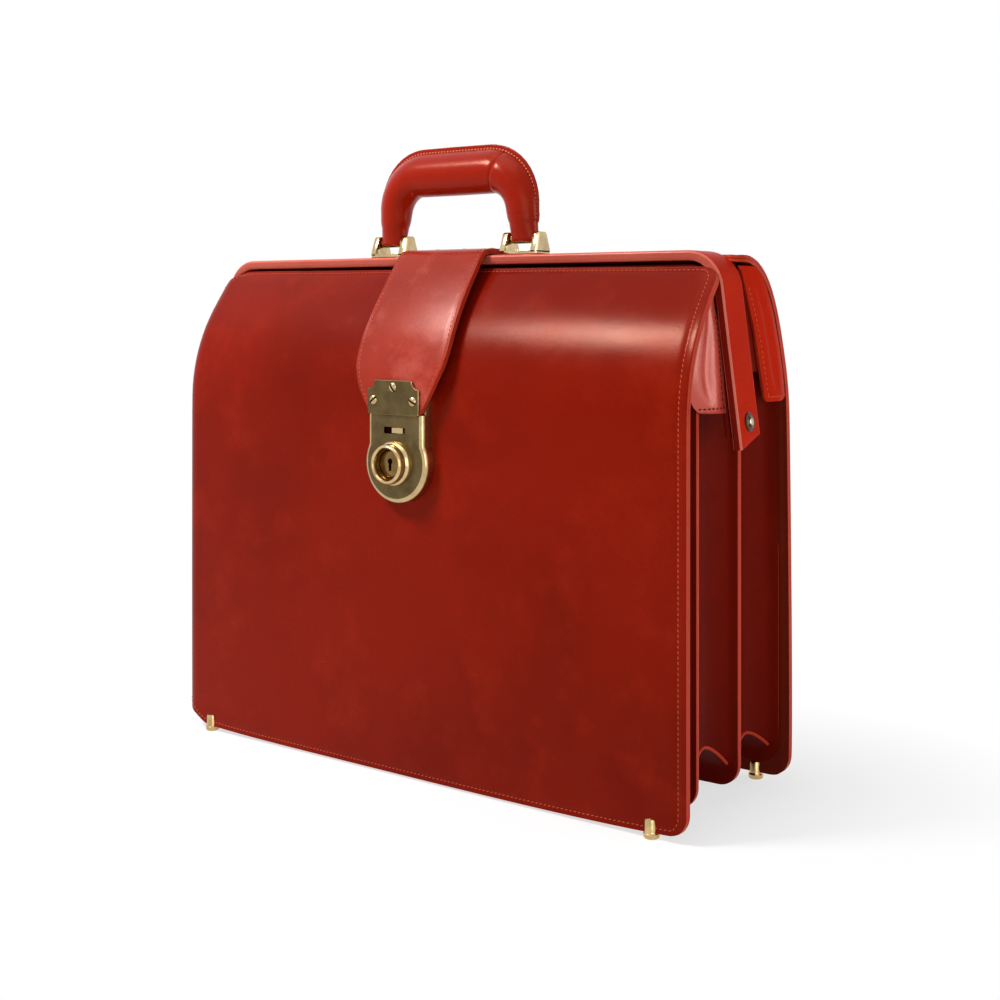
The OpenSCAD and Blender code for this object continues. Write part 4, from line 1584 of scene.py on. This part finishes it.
@dataclass
class StrapPlate:
    """The plate at the strap's end, with notched upper corners and three slotted screws."""

    face_y: float = -84.5
    thick: float = 1.6
    half: float = 22.0
    low: float = 245.5
    top: float = 268.5
    notch: float = 6.0
    corner: float = 2.0
    screws: Pairs = ((0.0, 264.0), (-17.0, 255.0), (17.0, 255.0))
    slot_turns: Sequence[float] = (35, -50, 60)
    screw_r: float = 3.2
    screw_h: float = 1.5

    def build(self) -> None:
        """Makes the plate and its screws."""
        a, top, n = self.half, self.top, self.notch
        r, low = self.corner, self.low + self.corner
        outline = [*arc(-a + r, low, r, 180, 270, 4), *arc(a - r, low, r, 270, 360, 4),
                   *arc(a, top, n, 270, 180, 8), *arc(-a, top, n, 0, -90, 8)]
        shape = Shape().plate(outline, self.thick, facing_front(0, self.face_y, 0), rounding=1.1,
                              rim=1, count=1)
        shape.show("hasp_plate", Dress((Skin.ANTIQUE, Skin.POLISHED), "strap", "antique_brass",
                                       ("hasp_plate",), sharp=30.0))
        heads = Shape()
        for (x, z), turn in zip(self.screws, self.slot_turns):
            spin = Matrix.Rotation(math.radians(turn), 4, "Z")
            place = facing_front(x, self.face_y + 0.05, z) @ spin
            slotted_dome(heads, place, self.screw_r, self.screw_h)
        # The screw slots are dark painted shade
        heads.show("hasp_screws", Dress((Skin.POLISHED, Skin.HOLLOW), "strap", "brass",
                                        ("hasp_screws",)))


def slotted_dome(shape: Shape, place: Matrix, radius: float, height: float) -> None:
    """A domed screw head with a slot.

    Args:
        shape: takes the head.
        place: foot of the head and where it looks.
        radius: radius of the foot.
        height: height of the dome.
    """
    dome = [(radius * math.cos(a), height * math.sin(a))
            for a in (math.radians(90 * i / 7) for i in range(8))]
    half, floor = radius * 0.2, Vector((0.0, 0.0, height * 0.45))
    left, right, down = Vector((-1.0, 0.0, 0.0)), Vector((1.0, 0.0, 0.0)), Vector((0.0, 0.0, -1.0))
    for planes in (((left * half, left),), ((right * half, right),),
                   ((left * half, right), (right * half, left), (floor, down))):
        part = Shape().lathe([(0.0, -1.2), (radius, -1.2), *dome], Matrix(), 28)
        for at, kept in planes:
            cut_below(part, at, kept, 0.05)
        # Faces in the slot take the second finish: dark painted shade
        for face in part.bm.faces:
            spot = face.calc_center_median()
            face.material_index = int(abs(spot.x) < half + 0.04 and spot.z > 0.1)
        shape.take(part.bm, place, None)


@dataclass
class Lock:
    """The lock on the front panel: case, face, barrel and turning plug."""

    panel_y: float = -71.5
    barrel_z: float = 213.0
    round_r: float = 27.0
    half: float = 24.0
    top_z: float = 266.0
    face_y: float = -82.5
    upper_y: float = -78.5
    rounding: float = 3.2
    cut_z: float = 245.7
    slot_z: float = 235.0
    bore_r: float = 12.0
    staple_half: float = 9.2
    staple_low: float = 246.5
    staple_top: float = 260.0
    upper_r: float = 5.0
    slot_w: float = 18.4
    slot_h: float = 4.6
    step: float = 0.3
    plug_r: float = 9.0
    plug_t: float = 6.0
    plug_rise: float = 4.6
    ring: Pairs = (
        (10.6, -3.0), (15.0, -3.0), (15.0, 2.6), (14.5, 3.5), (13.7, 4.0), (13.3, 4.5),
        (13.3, 8.4), (12.9, 9.4), (12.1, 10.0), (11.2, 9.8), (10.5, 9.0))
    throat: Pairs = ((10.5, 9.0), (9.9, 7.4), (9.3, 5.2), (9.3, -3.0), (10.6, -3.0))

    def keyhole(self, shrink: float, top: float) -> list[tuple[float, float]]:
        """Outline of the case.

        Args:
            shrink: how much smaller it is drawn.
            top: height at which it is closed.

        Returns:
            The outline's points.
        """
        r, a = self.round_r - shrink, self.half - shrink
        gap = math.degrees(math.acos(a / r))
        return [*arc(0, self.barrel_z, r, 180 - gap, 360 + gap, 60), (a, top), (-a, top)]

    def build(self) -> None:
        """Makes the case, the face, the barrel and the plug."""
        high = self.top_z
        slot = [(x, self.slot_z + z) for x, z in round_box(self.slot_w, self.slot_h, 0.8, 3)]
        bore = arc(0, self.barrel_z, self.bore_r, 0, 350, 35)
        top, down = Vector((0.0, 0.0, self.cut_z)), Vector((0.0, 0.0, -1.0))
        case = Shape().plate(self.keyhole(0.0, high), self.panel_y - self.face_y - self.step,
                             facing_front(0, self.face_y + self.step, 0), [slot, bore],
                             self.rounding, 0, 5)
        cut_below(case, top, down, 0.1)
        a, low, r = self.half - self.step, self.cut_z - 0.4, self.upper_r
        upper = [(-a, low), (a, low), *arc(a - r, high - r, r, 0, 90, 6),
                 *arc(r - a, high - r, r, 90, 180, 6)]
        b, foot, head = self.staple_half, self.staple_low, self.staple_top
        staple = [(-b, foot), (b, foot), (b, head), (-b, head)]
        case.plate(upper, self.panel_y - self.upper_y, facing_front(0, self.upper_y, 0), [staple],
                   0.5)
        case.show("lock_case", Dress((Skin.POLISHED,), slot="brass", nodes=("lock_case",),
                                     sharp=30.0))
        face = Shape().plate(self.keyhole(self.rounding + 0.1, high), 1.4,
                             facing_front(0, self.face_y, 0), [slot, bore], 0.25)
        cut_below(face, top, down, 0.1)
        face.show("lock_face", Dress((Skin.ANTIQUE,), slot="antique_brass", nodes=("lock_face",)))
        self.build_barrel()

    def build_barrel(self) -> None:
        """Makes the stepped barrel ring and the plug with its keyhole."""
        place = facing_front(0, self.face_y, self.barrel_z)
        # The throat inside the ring takes the darker brass
        ring = Shape().lathe(self.ring, place, 64).lathe(self.throat, place, 64, 1)
        bmesh.ops.remove_doubles(ring.bm, verts=ring.bm.verts[:], dist=1e-3)
        ring.outward()
        ring.show("lock_barrel", Dress((Skin.BRASS, Skin.OLD_BRASS), slot="brass",
                                       nodes=("lock_barrel",), sharp=32.0))
        hole = [*arc(0, 1.8, 2.0, -50, 230, 16), (-1.0, -4.6), (1.0, -4.6)]
        face = facing_front(0, self.face_y - self.plug_rise, self.barrel_z)
        rim = arc(0, 0, self.plug_r, 0, 352.5, 47)
        plug = Shape().plate(rim, self.plug_t, face, [hole], 0.8, 0, 2)
        # A dark disk behind the keyhole: painted shade seen through the hole
        back = facing_front(0, self.face_y - 1.4, self.barrel_z)
        floor = bmesh.new()
        bmesh.ops.create_circle(floor, cap_ends=True, segments=24, radius=6.0)
        bmesh.ops.solidify(floor, geom=floor.faces[:], thickness=0.6)
        plug.take(floor, back, 1)
        plug.show("key_plug", Dress((Skin.OLD_BRASS, Skin.HOLLOW), "key_plug", "brass",
                                    ("key_plug",), sharp=32.0))


@dataclass
class Fittings:
    """Feet and pivot rivets."""

    foot_x: float = 190.0
    foot_y: float = 69.25
    pivot_y: float = MOUTH_Y
    pivot_z: float = 247.0
    head_x: float = 226.8
    lean: float = ARM_LEAN
    foot: Pairs = (
        (0.0, 0.0), (4.0, 0.0), (4.8, 0.5), (5.0, 1.4), (5.0, 3.0), (4.5, 3.7), (4.3, 4.4),
        (4.3, 10.6), (3.9, 11.6), (3.2, 12.0), (0.0, 12.0))
    tail: Pairs = (
        (0.0, -15.0), (4.6, -15.0), (5.0, -14.6), (5.0, -13.9), (0.0, -13.8))
    head: Pairs = (
        (0.0, -4.0), (3.0, -4.0), (3.0, -0.6), (5.4, -0.6), (5.9, -0.2), (5.9, 0.6), (5.4, 1.1),
        (4.2, 1.0), (3.8, 1.1), (3.2, 1.5), (2.2, 1.9))
    # Pale cap on the rivet's dome: painted highlight
    centre: Pairs = ((2.2, 1.9), (1.5, 2.1), (0.8, 2.2), (0.0, 2.2))

    def build(self) -> None:
        """Makes the four feet and the two rivets."""
        feet = Shape()
        for x in (-self.foot_x, self.foot_x):
            for y in (-self.foot_y, self.foot_y):
                feet.lathe(self.foot, Matrix.Translation((x, y, 0.0)), 28)
        feet.show("feet", Dress((Skin.BRASS,), slot="brass", nodes=("feet",), sharp=32.0))
        rivets = Shape()
        for side in (-1.0, 1.0):
            place = looking((side, 0.0, math.tan(math.radians(self.lean))), (0.0, side, 0.0),
                            (side * self.head_x, self.pivot_y, self.pivot_z))
            # The centre cap takes the pale brass: painted highlight
            for profile, skin in ((self.tail, 0), (self.head, 0), (self.centre, 1)):
                rivets.lathe(profile, place, 36, skin)
        bmesh.ops.remove_doubles(rivets.bm, verts=rivets.bm.verts[:], dist=1e-3)
        rivets.outward()
        rivets.show("pivot_rivets", Dress((Skin.BRONZE, Skin.PALE_BRASS), slot="bronze",
                                          nodes=("pivot_rivets",), sharp=32.0))


def seen_rays(w: Wiring) -> bpy.types.NodeSocket:
    """1 for the rays that see the white surround: from the camera, mirrored or through glass.

    Args:
        w: wiring of the material or the world.

    Returns:
        The share.
    """
    rays = w.node("ShaderNodeLightPath").outputs
    return w.calc("MAXIMUM", rays["Is Camera Ray"],
                 w.calc("MAXIMUM", rays["Is Glossy Ray"], rays["Is Transmission Ray"]))


@dataclass
class Studio:
    """Floor, light and camera."""

    azimuth: float = 36.31
    eye: Point = (0.6382, -0.8252, 0.3185)
    lens: float = 53.04
    shift: tuple[float, float] = (0.002, -0.1945)
    sensor: float = 36.0
    floor_half: float = 8.0
    shade_from: Point = (0.2, 0.07, 0.0)
    shade_reach: float = 0.2
    shade_white: float = 0.66
    surround: float = 0.22
    lamps: Sequence[tuple[str, Point, Point, tuple[float, float], float]] = (
        ("key", (-0.55, -0.79, 1.28), (0.08, -0.05, 0.26), (0.36, 0.28), 22.0),
        ("side", (1.45, 0.56, 0.45), (0.2, 0.0, 0.25), (0.6, 0.6), 6.0),
        ("top", (0.1, -0.45, 1.8), (0.0, 0.0, 0.3), (1.1, 1.1), 6.0),
        ("fill", (1.3, -1.2, 0.45), (0.1, 0.0, 0.2), (0.9, 0.9), 6.0))

    def build(self) -> None:
        """Sets up the whole studio."""
        self.build_floor()
        self.build_world()
        for lamp in self.lamps:
            self.lamp(*lamp)
        self.build_camera()

    def build_floor(self) -> None:
        """Makes the pale floor, plain white where it leaves the bag behind."""
        bm = bmesh.new()
        bmesh.ops.create_grid(bm, x_segments=4, y_segments=4, size=self.floor_half)
        mesh = bpy.data.meshes.new("floor")
        bm.to_mesh(mesh)
        bm.free()
        made, w, shader = start_material("pale_floor")
        place = w.node("ShaderNodeTexCoord").outputs["Object"]
        w.feed(shader.inputs["Base Color"], w.mix(w.cloud(place, 3.0), tone(246, 246, 246),
                                                  tone(250, 250, 250)))
        shader.inputs["Roughness"].default_value = 0.9
        shader.inputs["Specular IOR Level"].default_value = 0.1
        fold = w.vector("ABSOLUTE", place).outputs[0]
        beyond = w.vector("SUBTRACT", fold, self.shade_from).outputs[0]
        reach = w.vector("LENGTH", w.vector("MAXIMUM", beyond).outputs[0]).outputs["Value"]
        share = w.span(reach, 0.0, self.shade_reach, self.shade_white, 1.0)
        white = w.node("ShaderNodeEmission", None, Color=(1.0, 1.0, 1.0), Strength=1.0)
        mixed = w.mix_shader(w.calc("MULTIPLY", share, seen_rays(w)), shader.outputs[0],
                             white.outputs[0])
        target = next(n for n in made.node_tree.nodes if n.type == "OUTPUT_MATERIAL")
        w.feed(target.inputs["Surface"], mixed)
        mesh.materials.append(made)
        floor = bpy.data.objects.new("floor", mesh)
        bpy.context.scene.collection.objects.link(floor)

    def build_world(self) -> None:
        """Makes an even pale surround, white behind the bag."""
        world = bpy.data.worlds.new("studio")
        world.use_nodes = True
        world.node_tree.nodes.clear()
        w = Wiring(world.node_tree)
        light, white = (w.node("ShaderNodeBackground", None, Color=(1.0, 1.0, 1.0), Strength=power)
                        for power in (self.surround, 1.0))
        mixed = w.mix_shader(seen_rays(w), light.outputs[0], white.outputs[0])
        w.node("ShaderNodeOutputWorld", None, Surface=mixed)
        bpy.context.scene.world = world

    def lamp(self, name: str, at: Point, to: Point, size: tuple[float, float],
             power: float) -> None:
        """Adds a soft lamp.

        Args:
            name: the lamp's name.
            at: where it stands.
            to: where it looks.
            size: its width and height.
            power: its light in watts.
        """
        data = bpy.data.lights.new(name, "AREA")
        data.shape = "RECTANGLE"
        data.size, data.size_y = size
        data.energy = power
        lamp = bpy.data.objects.new(name, data)
        lamp.location = at
        lamp.rotation_euler = (Vector(to) - Vector(at)).to_track_quat("-Z", "Y").to_euler()
        bpy.context.scene.collection.objects.link(lamp)

    def build_camera(self) -> None:
        """Sets the camera at the photograph's angle."""
        data = bpy.data.cameras.new("camera")
        data.lens = self.lens
        data.sensor_width = self.sensor
        data.shift_x, data.shift_y = self.shift
        camera = bpy.data.objects.new("camera", data)
        camera.location = self.eye
        camera.rotation_euler = (math.pi / 2, 0.0, math.radians(self.azimuth))
        bpy.context.scene.collection.objects.link(camera)
        bpy.context.scene.camera = camera
        bpy.context.scene.view_settings.view_transform = "Standard"


KEPT_NODES = {
    "front_backing": Skin.BOARD, "rear_backing": Skin.BOARD, "frame_core": Skin.STEEL,
    "jaw_core": Skin.STEEL, "handle_core": Skin.CORE, "handle_bushes": Skin.BRASS,
    "handle_pins": Skin.PALE_BRASS, "bracket_screws": Skin.BRASS, "root_rivets": Skin.BRASS,
    "hasp_back": Skin.BRASS, "lock_back": Skin.BRASS, "lock_screws": Skin.STEEL,
    "lock_bolt": Skin.POLISHED,
}


def dress_kept_nodes() -> None:
    """Gives the solids that stay in view their finishes."""
    for name, skin in KEPT_NODES.items():
        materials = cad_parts[name].data.materials
        materials.clear()
        materials.append(skin.material())


FRONT_CURVE = Curve(((-71.5, 5.0), (-71.6, 60.0), (-71.6, 130.0), (-71.5, 200.0), (-71.4, 240.0),
                     (-70.8, 259.0), (-68.6, 273.0), (-65.0, 286.0), (-59.2, 300.0), (-52.6, 311.5),
                     (-45.2, 322.0), (-38.0, 331.5), (-32.9, 337.8), (-27.6, 343.7)), 1.0)
REAR_CURVE = Curve(((71.5, 5.0), (72.4, 40.0), (72.2, 90.0), (71.2, 150.0), (69.6, 215.0),
                    (67.8, 256.0), (64.2, 275.0), (59.4, 291.0), (50.4, 315.0), (39.0, 333.5),
                    (25.5, 344.8), (12.0, 349.6), (0.8, 350.8)), -1.0)
STRAP_INNER = Curve(((-78.9, 246.0), (-78.9, 252.0), (-78.9, 258.0), (-77.4, 270.0), (-71.8, 285.6),
                     (-64.7, 301.0), (-56.8, 314.8), (-47.6, 328.6), (-39.2, 340.2), (-33.8, 348.0),
                     (-30.2, 352.0), (-27.6, 353.4), (-25.0, 353.7), (-18.0, 353.7), (-8.0, 353.7),
                     (-0.6, 353.7)), 1.0)
STRAP_WIDTHS = ((0.0, 20.8), (1.0, 22.0), (4.0, 23.8), (8.0, 26.4), (15.0, 30.8), (22.5, 34.2),
                (31.0, 37.2), (42.0, 38.6), (55.0, 38.3), (85.0, 37.2), (115.0, 36.5),
                (175.0, 36.5))
FRONT_FLARE = ((252.0, 7.2), (280.0, 5.0), (310.0, 1.8), (327.0, 0.0))
REAR_FLARE = ((256.0, -0.6), (300.0, -1.4), (343.0, -2.6))
REAR_TURN_IN = ((205.0, 0.0), (230.0, 1.0), (256.0, 3.6), (275.0, 7.4), (290.0, 12.8),
                (305.0, 19.0), (318.0, 26.0))


def front_ear_edge(z: float) -> float:
    """The front ear's edge under the front panel.

    Args:
        z: height.

    Returns:
        The place from front to rear.
    """
    low = between(((252.6, -41.0), (253.2, -45.0), (254.4, -48.6), (256.5, -52.4), (260.0, -56.0),
                   (265.0, -59.0), (272.0, -61.4), (280.0, -63.0), (300.0, -70.0)), z)
    wall = 55.0 - math.sqrt(max(0.0, 121.0 ** 2 - (z - 240.0) ** 2))
    return max(low, wall - 3.4 * ease(262, 285, z) * ease(344, 322, z))


def front_ear_back(z: float) -> float:
    """The front ear's edge under the frame, by height."""
    return between(((252.0, -24.4), (306.0, -24.4), (316.0, -28.4), (340.0, -28.4)), z)


def rear_ear_edge(z: float) -> float:
    """The rear ear's edge under the rear panel.

    Args:
        z: height.

    Returns:
        The place from front to rear.
    """
    low = between(((256.0, 57.0), (257.0, 60.0), (259.0, 62.0), (264.0, 70.0)), z)
    wall = between(((240.0, 63.6), (256.0, 62.6), (275.0, 59.0), (291.0, 54.0), (315.0, 44.6),
                    (333.5, 33.0), (344.0, 20.0)), z)
    return min(low, wall)


def rear_ear_front(z: float) -> float:
    """The rear ear's edge at the frame, by height."""
    return between(((256.0, 36.5), (257.2, 34.4), (260.0, 33.0), (300.0, 21.5), (330.0, 9.5),
                    (344.0, 2.4)), z)


@dataclass
class EndLinings:
    """Two lining pieces that close the bag's ends between the frame and the rear ears."""

    front: float = 0.8
    cover: float = 4.0
    thick: float = 1.3
    faces: Sequence[float] = (-210.0, 211.3)
    heights: Sequence[float] = (276.0, 290.0, 300.0, 315.0, 330.0, 341.0)

    def build(self) -> None:
        """Makes both pieces, each reaching under its ear."""
        rear = [(rear_ear_front(z) + self.cover, z) for z in self.heights]
        outline = [(self.front, self.heights[0]), *rear, (self.front, self.heights[-1])]
        linings = Shape()
        for face_x in self.faces:
            linings.plate(outline, self.thick, looking((1, 0, 0), (0, 1, 0), (face_x, 0.0, 0.0)))
        # The end linings take the darker gusset leather, partly painted shade in the gaps at the
        # ends
        linings.show("end_linings", Dress((Skin.GUSSET,), slot="lining_leather"))


def build_leather() -> None:
    """Builds the panels, walls, gussets and ears."""
    Panel("front_panel", PANEL_HALF, FRONT_CURVE, 12.0, 12.0, 1.6, ("front_panel", "front_crown"),
          MOUTH_BEND, tilt=1.2, sag=3.4, roll=11.0).build()
    Panel("rear_panel", PANEL_HALF, REAR_CURVE, 14.0, 10.0, 1.2, ("rear_panel",)).build()
    Divider("pocket_divider", -46.5, 3.0, 279.5).build()
    Divider("centre_divider", 8.0, 4.0, 320.0).build()
    Gusset("pocket_gusset", -66.9, -46.6, 8.0, 8.0, 256.0).build()
    Gusset("front_gusset", -43.4, 7.9, 11.0, 30.0, 279.0).build()
    Gusset("rear_gusset", 12.1, 66.4, 11.0, 26.0, 318.0, turn_in=REAR_TURN_IN).build()
    for side in Side:
        end = side.name.lower()
        # Front ears wear the pale pinkish painted sheen; the rear ears wear the frame leather
        Ear("front_ear_" + end, side, 252.6, 327.0, front_ear_edge, front_ear_back, 3.2,
            Skin.EAR, Skin.DARK_THREAD, FRONT_FLARE, MOUTH_BEND).build()
        Ear("rear_ear_" + end, side, 256.2, 343.5, rear_ear_edge, rear_ear_front, 2.2,
            Skin.FRAME, Skin.THREAD, REAR_FLARE, face_x=214.8).build()
    EndLinings().build()


def build_frame() -> None:
    """Builds the covered frame, the jaw, the handle and its brackets."""
    Hoop("frame_cover", Skin.FRAME, "frame_leather", "body", -28.0, 0.0, 6.5,
         25.0).build(cut_frame_ends)
    # The jaw cover wears darker leather, painted shade, so the gap under the frame's lip reads dark
    Hoop("jaw_cover", Skin.JAW, "jaw_leather", "front_jaw", -24.0, -4.0, 4.0, 16.3,
         edge_r=1.4, ridge=Skin.JAW, lip=Skin.JAW).build(cut_jaw_ends)
    Handle().build()
    for side in Side:
        Bracket(side).build()


def build_closure() -> None:
    """Builds the strap, its plate, the lock, the feet and the rivets."""
    Strap(STRAP_INNER, STRAP_WIDTHS).build()
    StrapPlate().build()
    Lock().build()
    Fittings().build()


def main() -> None:
    """Builds the bag and its studio."""
    logging.basicConfig(level=logging.INFO, format="%(message)s")
    build_leather()
    build_frame()
    build_closure()
    dress_kept_nodes()
    Studio().build()


if __name__ == "__main__":
    main()
